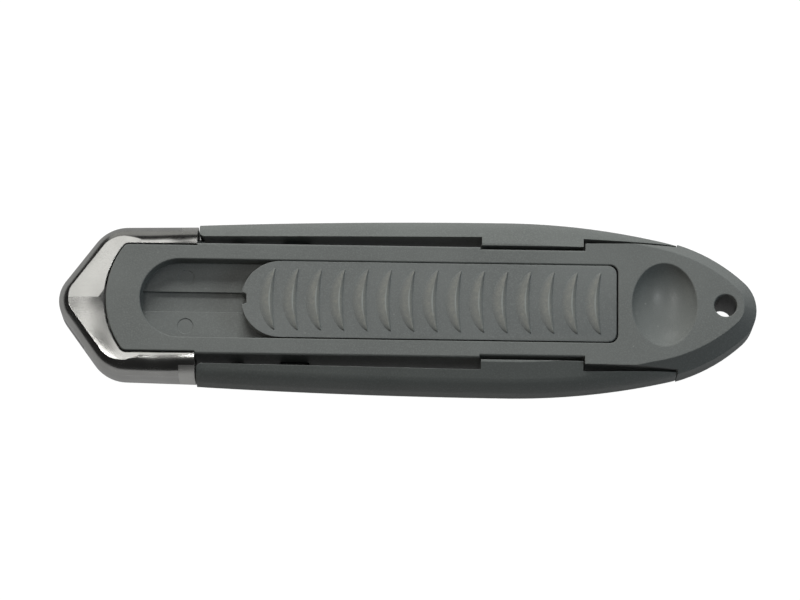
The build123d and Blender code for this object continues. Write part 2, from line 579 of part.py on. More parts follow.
with BuildPart() as nose_cap:
    with BuildSketch(Plane.XY.offset(cap_z[0])):
        add(cap_outline())
    extrude(amount=cap_z[1] - cap_z[0])
    rims = edges().group_by(Axis.Z)[0] + edges().group_by(Axis.Z)[-1]
    fillet([edge for edge in rims if edge.center().X < cap_rear_x - 0.1], CAP_EDGE_RADIUS)
    # Slope the two faces of the nose, top and bottom.
    for side in (1, -1):
        outward = Vector(-sin(radians(NOSE_HALF_ANGLE)), side * cos(radians(NOSE_HALF_ANGLE)), 0)
        for up, level in ((1, cap_z[1]), (-1, cap_z[0])):
            crease = Vector(apex_x + FACET_WIDTH / sin(radians(NOSE_HALF_ANGLE)), 0, level)
            normal = outward * sin(radians(FACET_ANGLE)) + Vector(0, 0, up * cos(radians(FACET_ANGLE)))
            split(bisect_by=Plane(origin=crease, z_dir=normal), keep=Keep.BOTTOM)
    # The window for the body plate, and the hollow round it for the ears, tongues and blade.
    with BuildSketch():
        window_front = plate_front_x - CAP_SEAM
        add(plate_plan(seat_half + CAP_SEAM, window_front, cap_rear_x + 1, PLATE_CORNER_RADIUS + CAP_SEAM))
    extrude(amount=THICKNESS, mode=Mode.SUBTRACT)
    hollow_z = mid_z - CAP_HOLLOW_HEIGHT / 2
    with BuildSketch(Plane.XY.offset(hollow_z)):
        offset(cap_outline(), amount=-CAP_WALL)
        with Locations((cap_rear_x, 0)):
            Rectangle(3 * CAP_WALL, 2 * (cap_half - CAP_WALL))
    extrude(amount=CAP_HOLLOW_HEIGHT, mode=Mode.SUBTRACT)
    span_box((nose_x - 1, plate_front_x), (-channel_half, channel_half), slit_z, mode=Mode.SUBTRACT)
    for side in (1, -1):
        rod(nose_pin_x, side * nose_pin_y, (-1, mid_z), NOSE_PIN_RADIUS + PIN_PLAY, mode=Mode.SUBTRACT)
nose_cap.part.label = "nose_cap"

with BuildPart() as nose_pins:
    for side in (1, -1):
        rod(nose_pin_x, side * nose_pin_y, nose_pin_z, NOSE_PIN_RADIUS)
    chamfer(edges().group_by(Axis.Z)[-1], NOSE_PIN_RADIUS / 4)
nose_pins.part.label = "nose_pins"

with BuildPart() as blade_guide:
    span_box(guide_x, (-guide_half, guide_half), guide_z)
    span_box(guide_x, (-channel_half, channel_half), slit_z, mode=Mode.SUBTRACT)
blade_guide.part.label = "blade_guide"

# ---------------------------------------------------------------- thumb slider
slider_z = (trough_z + RUN_GAP, THICKNESS)
slider_length = slider_rear_x - slider_front_x
slider_mid_x = (slider_front_x + slider_rear_x) / 2
key_half = GROOVE_WIDTH / 2 - KEY_GAP
rear_foot_bow = RIDGE_CREST_BOW - RIDGE_FALL
toe_radius = (RIDGE_HALF**2 + RIDGE_TOE_BOW**2) / (2 * RIDGE_TOE_BOW)
foot_radius = (RIDGE_HALF**2 + rear_foot_bow**2) / (2 * rear_foot_bow)
crest_run = toe_radius - (RIDGE_TOE_BOW - RIDGE_CREST_BOW)
dome_drop = (toe_radius**2 - crest_run**2 - RIDGE_HEIGHT**2) / (2 * RIDGE_HEIGHT)
dome_radius = sqrt(toe_radius**2 + dome_drop**2)
ridge_count = 1 + int((slider_length - RIDGE_END - RIDGE_FRONT) / RIDGE_PITCH)

# One grip ridge, with its ends at x = 0 and its foot at z = 0: a shallow dome that rises from the nose side
# to the crest, cut off behind the crest by a wide cone.
with BuildPart() as ridge:
    with Locations((toe_radius - RIDGE_TOE_BOW, 0, -dome_drop)):
        Sphere(dome_radius)
    ridge_z = (-RIDGE_SINK, RIDGE_HEIGHT + 1)
    span_box((-dome_radius, 0), (-RIDGE_HALF, RIDGE_HALF), ridge_z, mode=Mode.INTERSECT)
    with Locations((foot_radius - rear_foot_bow, 0, RIDGE_HEIGHT)):
        Cone(foot_radius - RIDGE_FALL, foot_radius + 3 * RIDGE_FALL, 4 * RIDGE_HEIGHT, mode=Mode.SUBTRACT)

with BuildPart() as slider:
    with BuildSketch(Plane.XY.offset(slider_z[0])) as slider_plan:
        with Locations((slider_mid_x, 0)):
            Rectangle(slider_length, 2 * slider_half)
        fillet(vertices().group_by(Axis.X)[0], slider_half - 0.01)
        fillet(vertices().group_by(Axis.X)[-1], SLIDER_CORNER)
        with Locations((slider_front_x, 0)):
            Rectangle(2 * NOTCH_DEPTH, NOTCH_WIDTH, mode=Mode.SUBTRACT)
    extrude(amount=slider_z[1] - slider_z[0])
    fillet(edges().group_by(Axis.Z)[-1], SLIDER_RIM)
    with BuildSketch(Plane.XY.offset(slider_z[0])):
        offset(slider_plan.sketch, amount=-SLIDER_WALL)
    extrude(amount=slider_z[1] - slider_z[0] - SLIDER_WALL, mode=Mode.SUBTRACT)
    key_x = (slider_front_x + NOTCH_DEPTH / 2, slider_rear_x - SLIDER_WALL)
    span_box(key_x, (-key_half, key_half), (groove_z + RUN_GAP, slider_z[1] - SLIDER_WALL))
    stem_half = STEM_LENGTH / 2
    span_box((stem_x - stem_half, stem_x + stem_half), (-key_half, key_half), (block_top, slider_z[0]))
    rod(stem_x, 0, (block_top, slider_z[1] - SLIDER_WALL), SMALL_SCREW_RADIUS, mode=Mode.SUBTRACT)
    for step in range(ridge_count):
        with Locations((slider_rear_x - RIDGE_END + RIDGE_CREST_BOW - step * RIDGE_PITCH, 0, slider_z[1])):
            add(ridge.part)
slider.part.label = "slider"

# ---------------------------------------------------------------- grip levers, catches, pivots and springs
lever_spring_y = (plate_half - SPRING_SEAT_BODY, lever_inner(lever_spring_x) + SPRING_SEAT_LEVER)
catch_root_y = lever_inner(catch_x) + CATCH_ROOT

with BuildPart() as left_lever:
    with BuildSketch() as lever_plan:
        with BuildLine():
            Polyline(
                (lever_front_x, lever_in_front),
                (tab_front_x, lever_in_tab),
                (tab_front_x, tab_half),
                (tab_rear_x, tab_half),
                (tab_rear_x, lever_in_tab),
                (lever_rear_x, lever_tip_y),
                (lever_rear_x, outside),
                (lever_front_x, outside),
                close=True,
            )
        make_face()
    extrude(amount=THICKNESS)
    add(lever_blank.part, mode=Mode.INTERSECT)
    ends = edges().filter_by(Axis.Z).sort_by(Axis.Y).filter_by_position(Axis.X, lever_front_x - 0.1,
                                                                        lever_front_x + 0.1)
    fillet(ends[-1], LEVER_END_RADIUS)
    # Tongue behind the cap's arm, and the eye on its arm through the body's side.
    tongue_z = (mid_z - TONGUE_HEIGHT / 2, mid_z + TONGUE_HEIGHT / 2)
    tongue_y = (lever_in_front - SQUEEZE_GAP / 2, tongue_half)
    span_box((tongue_front_x, lever_front_x + 1), tongue_y, tongue_z)
    rod(pivot_x, pivot_y, eye_z, EYE_RADIUS)
    span_box((pivot_x - EYE_RADIUS, pivot_x + EYE_RADIUS), (pivot_y, arm_root_y), eye_z)
    rod(pivot_x, pivot_y, eye_z, PIVOT_RADIUS + RUNNING_PLAY, mode=Mode.SUBTRACT)
    span_box(catch_reach, (plate_half, catch_root_y), catch_z, mode=Mode.SUBTRACT)
    pocket_y = (plate_half, lever_spring_y[1])
    pocket_radius = LEVER_SPRING_RADIUS + SPRING_PLAY
    cross_rod(lever_spring_x, pocket_y, LEVER_SPRING_HEIGHT, pocket_radius, mode=Mode.SUBTRACT)
left_lever.part.label = "left_lever"

with BuildPart() as left_catch:
    with BuildSketch(Plane.XY.offset(catch_z[0])):
        gum_y = catch_tip_y + TOOTH_HEIGHT
        with Locations((catch_x, (gum_y + catch_root_y) / 2)):
            Rectangle(catch_length, catch_root_y - gum_y)
        for step in (-1, 0, 1):
            middle = catch_x + step * RACK_PITCH
            with BuildLine():
                Polyline(
                    (middle - TOOTH_BASE / 2, gum_y),
                    (middle - TOOTH_TIP / 2, catch_tip_y),
                    (middle + TOOTH_TIP / 2, catch_tip_y),
                    (middle + TOOTH_BASE / 2, gum_y),
                    close=True,
                )
            make_face()
    extrude(amount=CATCH_HEIGHT)
left_catch.part.label = "left_catch"

with BuildPart() as left_pivot_pin:
    rod(pivot_x, pivot_y, (mid_z - PIVOT_HALF_LENGTH, mid_z + PIVOT_HALF_LENGTH), PIVOT_RADIUS)
    chamfer(edges().filter_by(GeomType.CIRCLE), PIVOT_RADIUS / 5)
left_pivot_pin.part.label = "left_pivot_pin"

with BuildPart() as left_lever_spring:
    inner_radius = LEVER_SPRING_RADIUS - LEVER_SPRING_WIRE
    cross_rod(lever_spring_x, lever_spring_y, LEVER_SPRING_HEIGHT, LEVER_SPRING_RADIUS)
    cross_rod(lever_spring_x, lever_spring_y, LEVER_SPRING_HEIGHT, inner_radius, mode=Mode.SUBTRACT)
left_lever_spring.part.label = "left_lever_spring"

with BuildPart() as right_lever:
    mirror(left_lever.part, about=Plane.XZ)
right_lever.part.label = "right_lever"

with BuildPart() as right_catch:
    mirror(left_catch.part, about=Plane.XZ)
right_catch.part.label = "right_catch"

with BuildPart() as right_pivot_pin:
    mirror(left_pivot_pin.part, about=Plane.XZ)
right_pivot_pin.part.label = "right_pivot_pin"

with BuildPart() as right_lever_spring:
    mirror(left_lever_spring.part, about=Plane.XZ)
right_lever_spring.part.label = "right_lever_spring"

# ---------------------------------------------------------------- blade, carrier and clamp
blade_mid_x = (blade_front_x + blade_rear_x) / 2
notch_y = BLADE_WIDTH / 2 - BLADE_NOTCH_DEPTH
stud_x = blade_mid_x + BLADE_NOTCH_PITCH / 2
clamp_screw_x = blade_mid_x + BLADE_HOLE_PITCH
clamp_z = (blade_top, blade_top + CLAMP_THICK)
clamp_x = (blade_rear_x - CLAMP_LENGTH, blade_rear_x)

with BuildPart() as blade:
    with BuildSketch(Plane.XY.offset(blade_low)):
        with BuildLine():
            cut = (BLADE_LENGTH - BLADE_BACK_LENGTH) / 2
            Polyline(
                (blade_front_x, -BLADE_WIDTH / 2),
                (blade_rear_x, -BLADE_WIDTH / 2),
                (blade_rear_x - cut, BLADE_WIDTH / 2),
                (blade_front_x + cut, BLADE_WIDTH / 2),
                close=True,
            )
        make_face()
        with Locations(*((blade_mid_x + step * BLADE_HOLE_PITCH, 0) for step in (-1, 0, 1))):
            Circle(BLADE_HOLE_RADIUS, mode=Mode.SUBTRACT)
        for step in (-0.5, 0.5):
            x = blade_mid_x + step * BLADE_NOTCH_PITCH
            with Locations((x, notch_y)):
                Circle(STUD_RADIUS + NOTCH_PLAY, mode=Mode.SUBTRACT)
            with Locations((x, notch_y + BLADE_NOTCH_DEPTH)):
                Rectangle(2 * (STUD_RADIUS + NOTCH_PLAY), 2 * BLADE_NOTCH_DEPTH, mode=Mode.SUBTRACT)
    extrude(amount=BLADE_THICKNESS)
    edge = edges().filter_by(Axis.X).group_by(Axis.Y)[0]
    chamfer(edge, length=BLADE_EDGE_DEPTH, length2=BLADE_EDGE_WIDTH, reference=faces().sort_by(Axis.Y)[0])
blade.part.label = "blade"

with BuildPart() as blade_carrier:
    span_box((carrier_front_x, blade_rear_x), (-carrier_half, carrier_half), (carrier_low, blade_low))
    span_box((blade_rear_x, block_rear_x), (-carrier_half, carrier_half), (carrier_low, block_top))
    rod(stud_x, notch_y, (blade_low, blade_top), STUD_RADIUS)
    # Rack notches along both sides, from the catch's place now to its place with the blade right out.
    with BuildSketch(Plane.XY.offset(carrier_low)):
        for step in range(TRAVEL_STEPS + 3):
            middle = catch_x - RACK_PITCH + step * RACK_PITCH
            for side in (1, -1):
                with BuildLine():
                    Polyline(
                        (middle - RACK_MOUTH / 2, side * carrier_half),
                        (middle - RACK_FLOOR / 2, side * (carrier_half - RACK_DEPTH)),
                        (middle + RACK_FLOOR / 2, side * (carrier_half - RACK_DEPTH)),
                        (middle + RACK_MOUTH / 2, side * carrier_half),
                        close=True,
                    )
                make_face()
    extrude(amount=CARRIER_FLOOR, mode=Mode.SUBTRACT)
    # Slot for the spring's hook at the rear, with its pin, and the holes for the two screws.
    notch_x = (hook_x - HOOK_NOTCH_HALF, block_rear_x)
    hook_z = (carrier_low + LIP, block_top - LIP)
    span_box(notch_x, (-HOOK_NOTCH_HALF, HOOK_NOTCH_HALF), hook_z, mode=Mode.SUBTRACT)
    rod(hook_x, 0, (carrier_low, block_top), HOOK_PIN_RADIUS + PIN_PLAY, mode=Mode.SUBTRACT)
    rod(stem_x, 0, (carrier_low, block_top), SMALL_SCREW_RADIUS + SCREW_FIT, mode=Mode.SUBTRACT)
    head_room_z = (carrier_low, carrier_low + SMALL_HEAD_SINK + SMALL_HEAD_HEIGHT)
    rod(stem_x, 0, head_room_z, SMALL_HEAD_RADIUS + HEAD_PLAY, mode=Mode.SUBTRACT)
    rod(clamp_screw_x, 0, (carrier_low, blade_low), SMALL_SCREW_RADIUS, mode=Mode.SUBTRACT)
blade_carrier.part.label = "blade_carrier"

with BuildPart() as blade_clamp:
    with BuildSketch(Plane.XY.offset(clamp_z[0])):
        with Locations((sum(clamp_x) / 2, 0)):
            RectangleRounded(CLAMP_LENGTH, CLAMP_WIDTH, 2)
        with Locations((clamp_screw_x, 0)):
            Circle(SMALL_SCREW_RADIUS + SCREW_FIT, mode=Mode.SUBTRACT)
    extrude(amount=CLAMP_THICK)
blade_clamp.part.label = "blade_clamp"

# ---------------------------------------------------------------- screws, pins and the return spring
with BuildPart() as clamp_screw:
    rod(clamp_screw_x, 0, (carrier_low + SCREW_END_GAP, clamp_z[1]), SMALL_SCREW_RADIUS)
    rod(clamp_screw_x, 0, (clamp_z[1], clamp_z[1] + SMALL_HEAD_HEIGHT), SMALL_HEAD_RADIUS)
    chamfer(edges().group_by(Axis.Z)[-1], HEAD_CHAMFER)
    for spans in ((SMALL_HEAD_RADIUS, CROSS_WIDTH), (CROSS_WIDTH, SMALL_HEAD_RADIUS)):
        with Locations((clamp_screw_x, 0, clamp_z[1] + SMALL_HEAD_HEIGHT)):
            Box(*spans, CROSS_DEPTH, mode=Mode.SUBTRACT)
clamp_screw.part.label = "clamp_screw"

with BuildPart() as slider_screw:
    head_z = (carrier_low + SMALL_HEAD_SINK, head_room_z[1])
    rod(stem_x, 0, head_z, SMALL_HEAD_RADIUS)
    chamfer(edges().group_by(Axis.Z)[0], HEAD_CHAMFER)
    rod(stem_x, 0, (head_z[1], slider_z[1] - SLIDER_WALL - SCREW_END_GAP), SMALL_SCREW_RADIUS)
    for spans in ((SMALL_HEAD_RADIUS, CROSS_WIDTH), (CROSS_WIDTH, SMALL_HEAD_RADIUS)):
        with Locations((stem_x, 0, head_z[0])):
            Box(*spans, CROSS_DEPTH, mode=Mode.SUBTRACT)
slider_screw.part.label = "slider_screw"

with BuildPart() as housing_screws:
    head_low = SCREW_SINK - SCREW_HEAD_HEIGHT
    for x, y in screw_places:
        rod(x, y, (head_low, SCREW_SINK), SCREW_HEAD_RADIUS)
        rod(x, y, screw_z, SCREW_RADIUS)
    chamfer(edges().group_by(Axis.Z)[0], HEAD_CHAMFER)
    for x, y in screw_places:
        for spans in ((SCREW_HEAD_RADIUS, CROSS_WIDTH), (CROSS_WIDTH, SCREW_HEAD_RADIUS)):
            with Locations((x, y, head_low)):
                Box(*spans, 2 * CROSS_DEPTH, mode=Mode.SUBTRACT)
housing_screws.part.label = "housing_screws"

with BuildPart() as carrier_spring_pin:
    rod(hook_x, 0, (carrier_low, block_top), HOOK_PIN_RADIUS)
carrier_spring_pin.part.label = "carrier_spring_pin"

with BuildPart() as spring_post:
    rod(post_x, 0, post_z, POST_RADIUS)
    chamfer(edges().group_by(Axis.Z)[-1], POST_RADIUS / 4)
spring_post.part.label = "spring_post"

# Close-wound, so its body is a tube, with a loop of wire round the pin at each end.
with BuildPart() as return_spring:
    loop_play = HOOK_PLAY + SPRING_WIRE / 2
    coil_x = (block_rear_x + COIL_GAP, post_x - POST_RADIUS - loop_play)
    neck_x = (hook_x + HOOK_PIN_RADIUS + loop_play, coil_x[0] + SPRING_WIRE)
    for x, pin_radius in ((hook_x, HOOK_PIN_RADIUS), (post_x, POST_RADIUS)):
        with Locations((x, 0, mid_z)):
            Torus(pin_radius + loop_play, SPRING_WIRE / 2)
    with Locations(Location((sum(neck_x) / 2, 0, mid_z), (0, 90, 0))):
        Cylinder(SPRING_WIRE / 2, neck_x[1] - neck_x[0])
    with Locations(Location((sum(coil_x) / 2, 0, mid_z), (0, 90, 0))):
        Cylinder(SPRING_RADIUS, coil_x[1] - coil_x[0])
        Cylinder(SPRING_RADIUS - SPRING_WIRE, coil_x[1] - coil_x[0] - 2 * SPRING_WIRE, mode=Mode.SUBTRACT)
return_spring.part.label = "return_spring"

pieces = [
    nose_cap, top_shell, bottom_shell, slider, blade_carrier, blade, blade_clamp, clamp_screw, slider_screw,
    return_spring, spring_post, carrier_spring_pin, blade_guide, nose_pins, housing_screws,
    left_lever, left_catch, left_pivot_pin, left_lever_spring,
    right_lever, right_catch, right_pivot_pin, right_lever_spring,
]
os.makedirs("parts", exist_ok=True)
for piece in pieces:
    export_step(piece.part, f"parts/{piece.part.label}.step")
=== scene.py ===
import math

import bmesh
import bpy
from mathutils import Matrix, Vector


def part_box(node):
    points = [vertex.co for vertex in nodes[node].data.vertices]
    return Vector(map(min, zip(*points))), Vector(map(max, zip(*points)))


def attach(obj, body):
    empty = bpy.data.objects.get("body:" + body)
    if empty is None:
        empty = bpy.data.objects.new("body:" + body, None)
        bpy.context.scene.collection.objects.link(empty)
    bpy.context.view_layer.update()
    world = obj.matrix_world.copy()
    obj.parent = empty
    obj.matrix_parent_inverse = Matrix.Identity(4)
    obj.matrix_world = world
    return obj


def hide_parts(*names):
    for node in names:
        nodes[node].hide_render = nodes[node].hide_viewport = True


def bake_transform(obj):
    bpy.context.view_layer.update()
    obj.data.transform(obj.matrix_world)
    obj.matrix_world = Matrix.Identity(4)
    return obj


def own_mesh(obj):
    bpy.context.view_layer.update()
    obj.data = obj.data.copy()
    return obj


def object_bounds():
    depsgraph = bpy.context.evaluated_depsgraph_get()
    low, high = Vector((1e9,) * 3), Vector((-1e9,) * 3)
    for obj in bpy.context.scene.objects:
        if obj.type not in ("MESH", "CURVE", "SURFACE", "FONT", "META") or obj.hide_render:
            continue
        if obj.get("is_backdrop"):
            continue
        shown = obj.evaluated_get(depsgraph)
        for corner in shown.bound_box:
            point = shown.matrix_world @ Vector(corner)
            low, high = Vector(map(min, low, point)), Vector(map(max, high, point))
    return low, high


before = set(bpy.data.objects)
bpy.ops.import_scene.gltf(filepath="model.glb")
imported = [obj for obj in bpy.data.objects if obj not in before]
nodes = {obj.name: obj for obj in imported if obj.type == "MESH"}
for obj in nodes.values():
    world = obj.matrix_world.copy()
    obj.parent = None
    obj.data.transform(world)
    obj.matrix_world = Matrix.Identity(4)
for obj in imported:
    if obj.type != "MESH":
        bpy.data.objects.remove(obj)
cad_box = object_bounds()

# --------------------------------------------------------------------------------------------------
# Light table, camera and lights
# The knife lies on its back on a sheet of opal glass lit from below, which leaves no shadow. One soft
# lamp stands beyond the left lever, with smaller ones overhead. Dim light comes from a window and a
# doorway at the two ends.
# --------------------------------------------------------------------------------------------------
CAMERA_DISTANCE = 0.90
CAMERA_TILT = math.radians(13.9)  # from straight above, towards the right lever
CAMERA_ROLL = math.radians(0.85)
VIEW_WIDTH = 0.1784  # metres across the picture at the knife's middle height
KNIFE_RIGHT = 0.00172  # knife's middle from the picture's middle
KNIFE_DOWN = 0.00203

box_low, box_high = cad_box
middle = Vector((0, 0, (box_low.z + box_high.z) / 2))
view_back = Vector((0, -math.sin(CAMERA_TILT), math.cos(CAMERA_TILT)))
view_right = Vector((1, 0, 0))
view_up = view_back.cross(view_right)
spin = Matrix.Rotation(CAMERA_ROLL, 3, view_back)
view_right, view_up = spin @ view_right, spin @ view_up

camera_data = bpy.data.cameras.new("camera")
camera_data.sensor_width = 36.0
camera_data.lens = camera_data.sensor_width * CAMERA_DISTANCE / VIEW_WIDTH
camera_data.clip_start, camera_data.clip_end = 0.05, 20
camera = bpy.data.objects.new("camera", camera_data)
aim = middle - view_right * KNIFE_RIGHT + view_up * KNIFE_DOWN
turn = Matrix((view_right, view_up, view_back)).transposed()
camera.matrix_world = Matrix.Translation(aim + view_back * CAMERA_DISTANCE) @ turn.to_4x4()
bpy.context.scene.collection.objects.link(camera)
bpy.context.scene.camera = camera
bpy.context.scene.view_settings.view_transform = "Standard"

TABLE_HALF = 3.0
TABLE_GAP = 0.0002  # under the knife
TABLE_GLOW = 1.0  # as the camera sees it
TABLE_SPILL = 0.27  # the part of it that reaches the knife

SQUARE = [(-1, -1), (1, -1), (1, 1), (-1, 1)]
table_mesh = bpy.data.meshes.new("light_table")
table_corners = [(x * TABLE_HALF, y * TABLE_HALF, -TABLE_GAP) for x, y in SQUARE]
table_mesh.from_pydata(table_corners, [], [(0, 1, 2, 3)])
table = bpy.data.objects.new("light_table", table_mesh)
bpy.context.scene.collection.objects.link(table)
opal_glass = bpy.data.materials.new("opal_glass")
opal_glass.use_nodes = True
opal_shader = opal_glass.node_tree.nodes["Principled BSDF"]
opal_shader.inputs["Base Color"].default_value = (0.05, 0.05, 0.05, 1)
opal_shader.inputs["Roughness"].default_value = 0.8
opal_shader.inputs["Emission Color"].default_value = (1, 1, 1, 1)
opal_tree = opal_glass.node_tree
opal_seen = opal_tree.nodes.new("ShaderNodeLightPath").outputs["Is Camera Ray"]
opal_glow = opal_tree.nodes.new("ShaderNodeMapRange")
opal_glow.inputs["To Min"].default_value = TABLE_SPILL
opal_glow.inputs["To Max"].default_value = TABLE_GLOW
opal_tree.links.new(opal_seen, opal_glow.inputs["Value"])
opal_tree.links.new(opal_glow.outputs[0], opal_shader.inputs["Emission Strength"])
table_mesh.materials.append(opal_glass)
table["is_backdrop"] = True


def soft_box(name, place, size, power, colour, shines=True):
    """A square lamp that points at the knife. One that doesn't shine leaves no reflection."""
    data = bpy.data.lights.new(name, "AREA")
    data.shape, data.size, data.energy, data.color = "SQUARE", size, power, colour
    lamp = bpy.data.objects.new(name, data)
    lamp.location = place
    lamp.rotation_mode = "QUATERNION"
    lamp.rotation_quaternion = (Vector(place) - middle).to_track_quat("Z", "Y")
    lamp.visible_glossy = shines
    bpy.context.scene.collection.objects.link(lamp)


soft_box("side_lamp", (-0.12, 1.0, 0.65), 0.55, 17.0, (1.0, 0.998, 0.985), shines=False)
soft_box("nose_lamp", (-0.19, 0.35, 1.0), 0.34, 0.44, (1.0, 0.99, 0.97))
soft_box("near_bulb", (-0.25, 0.02, 1.0), 0.12, 0.55, (1.0, 0.99, 0.97))
soft_box("far_bulb", (0.35, 0.03, 1.0), 0.12, 0.70, (0.97, 0.99, 1.0))
soft_box("wall_card", (-0.3, 1.25, 0.42), 0.8, 0.7, (1.0, 0.99, 0.96))
soft_box("window", (0.95, -0.1, 0.6), 0.4, 3.0, (0.80, 0.92, 1.0), shines=False)
soft_box("doorway", (-1.0, -0.1, 0.45), 0.4, 2.0, (1.0, 0.94, 0.84), shines=False)

world = bpy.data.worlds.new("studio")
world.use_nodes = True
world.node_tree.nodes["Background"].inputs["Color"].default_value = (1, 1, 1, 1)
world.node_tree.nodes["Background"].inputs["Strength"].default_value = 0.02
bpy.context.scene.world = world

# --------------------------------------------------------------------------------------------------
# Body shells
# Two half shells moulded in grey glass-filled nylon with a fine spark-eroded grain. The upper one has
# the slider trough, the thumb dimple and the sloped tail. Three screws from the back hold them together.
# --------------------------------------------------------------------------------------------------
BODY_GREY = (0.128, 0.136, 0.131)
BACK_GREY = (0.120, 0.127, 0.122)
DUST_GREY = (0.5, 0.5, 0.48)
DIMPLE_X = 0.0568
DIMPLE_HALF = (0.0072, 0.0094)
DIMPLE_POLISH = -0.17  # added to the roughness inside the dimple


def new_group(name, inputs, outputs):
    """An empty shader group with number inputs, given as (name, value), and outputs as (name, kind)."""
    group = bpy.data.node_groups.new(name, "ShaderNodeTree")
    for label, value in inputs:
        socket = group.interface.new_socket(label, in_out="INPUT", socket_type="NodeSocketFloat")
        socket.default_value = value
    for label, kind in outputs:
        group.interface.new_socket(label, in_out="OUTPUT", socket_type=kind)
    return group, group.nodes.new("NodeGroupInput"), group.nodes.new("NodeGroupOutput")


def add_node(tree, kind, settings=(), **sockets):
    """A node with its settings and its sockets, each a value or the output of another node."""
    node = tree.nodes.new(kind)
    for name, value in dict(settings).items():
        setattr(node, name, value)
    for name, value in sockets.items():
        socket = node.inputs[int(name[1:])] if name[1:].isdigit() else node.inputs[name.replace("_", " ")]
        if isinstance(value, bpy.types.NodeSocket):
            tree.links.new(value, socket)
        else:
            socket.default_value = value
    return node


def ramp(tree, value, low, high):
    """Runs from 0 at the low value to 1 at the high one, smoothly."""
    settings = {"interpolation_type": "SMOOTHSTEP"}
    return add_node(tree, "ShaderNodeMapRange", settings, Value=value, From_Min=low, From_Max=high).outputs[0]


def maths(tree, operation, *values):
    """The result of one sum."""
    sockets = {f"_{index}": value for index, value in enumerate(values)}
    return add_node(tree, "ShaderNodeMath", {"operation": operation}, **sockets).outputs[0]


def blend_colour(tree, share, first, second, way="MIX"):
    """A mix of two colours."""
    settings = {"data_type": "RGBA", "blend_type": way}
    return add_node(tree, "ShaderNodeMix", settings, _0=share, _6=first, _7=second).outputs[2]


def rgba(colour, factor=1.0):
    return (colour[0] * factor, colour[1] * factor, colour[2] * factor, 1.0)


def make_grain():
    """Fine grain of a spark-eroded mould or of a cast skin: its height, its light specks and broad clouds."""
    inputs = [("Grains per metre", 3200), ("Clouds per metre", 55)]
    outputs = [(name, "NodeSocketFloat") for name in ("Height", "Specks", "Clouds")]
    group, entry, leave = new_group("fine_grain", inputs, outputs)
    place = add_node(group, "ShaderNodeTexCoord").outputs["Object"]
    fine = add_node(group, "ShaderNodeTexNoise", Vector=place, Scale=entry.outputs[0], Detail=2.5,
                    Roughness=0.62)
    clouds = add_node(group, "ShaderNodeTexNoise", Vector=place, Scale=entry.outputs[1], Detail=3.0,
                      Roughness=0.5)
    group.links.new(fine.outputs[0], leave.inputs["Height"])
    group.links.new(ramp(group, fine.outputs[0], 0.42, 0.72), leave.inputs["Specks"])
    group.links.new(ramp(group, clouds.outputs[0], 0.32, 0.68), leave.inputs["Clouds"])
    return group


def make_rubbed_edges():
    """Rounds the light on edges and finds where they are rubbed, with a broken border."""
    inputs = [("Radius", 0.0002), ("Breaks per metre", 900), ("Amount", 1.0)]
    outputs = [("Mask", "NodeSocketFloat"), ("Normal", "NodeSocketVector")]
    group, entry, leave = new_group("rubbed_edges", inputs, outputs)
    bevel = add_node(group, "ShaderNodeBevel", {"samples": 6}, Radius=entry.outputs[0])
    flat = add_node(group, "ShaderNodeNewGeometry").outputs["True Normal"]
    dot = add_node(group, "ShaderNodeVectorMath", {"operation": "DOT_PRODUCT"}, _0=bevel.outputs[0], _1=flat)
    edge = ramp(group, dot.outputs["Value"], 0.995, 0.80)
    place = add_node(group, "ShaderNodeTexCoord").outputs["Object"]
    breaks = add_node(group, "ShaderNodeTexNoise", Vector=place, Scale=entry.outputs[1], Detail=3.0)
    worn = maths(group, "MULTIPLY", edge, ramp(group, breaks.outputs[0], 0.38, 0.62))
    group.links.new(maths(group, "MULTIPLY", worn, entry.outputs[2]), leave.inputs["Mask"])
    group.links.new(bevel.outputs[0], leave.inputs["Normal"])
    return group


def make_dust():
    """Sparse pale dust, more of it on faces that look up."""
    inputs = [("Specks per metre", 360), ("Amount", 0.5)]
    group, entry, leave = new_group("settled_dust", inputs, [("Mask", "NodeSocketFloat")])
    coordinates = add_node(group, "ShaderNodeTexCoord")
    cells = add_node(group, "ShaderNodeTexVoronoi", Vector=coordinates.outputs["Object"],
                     Scale=entry.outputs[0], Randomness=1.0)
    near = ramp(group, cells.outputs["Distance"], 0.11, 0.03)
    chance = add_node(group, "ShaderNodeSeparateColor", Color=cells.outputs["Color"]).outputs[0]
    rare = maths(group, "GREATER_THAN", chance, 0.80)
    up = add_node(group, "ShaderNodeSeparateXYZ", Vector=coordinates.outputs["Normal"]).outputs["Z"]
    lying = maths(group, "MULTIPLY", near, maths(group, "MULTIPLY", rare, ramp(group, up, 0.3, 0.9)))
    group.links.new(maths(group, "MULTIPLY", lying, entry.outputs[1]), leave.inputs["Mask"])
    return group


fine_grain, rubbed_edges, settled_dust = make_grain(), make_rubbed_edges(), make_dust()


def use_group(tree, group, **values):
    """Places a group in a material, with its own values."""
    node = tree.nodes.new("ShaderNodeGroup")
    node.node_tree = group
    for name, value in values.items():
        node.inputs[name.replace("_", " ")].default_value = value
    return node.outputs


def new_material(name):
    """A material with its own node tree and its shader."""
    material = bpy.data.materials.new(name)
    material.use_nodes = True
    return material, material.node_tree, material.node_tree.nodes["Principled BSDF"]


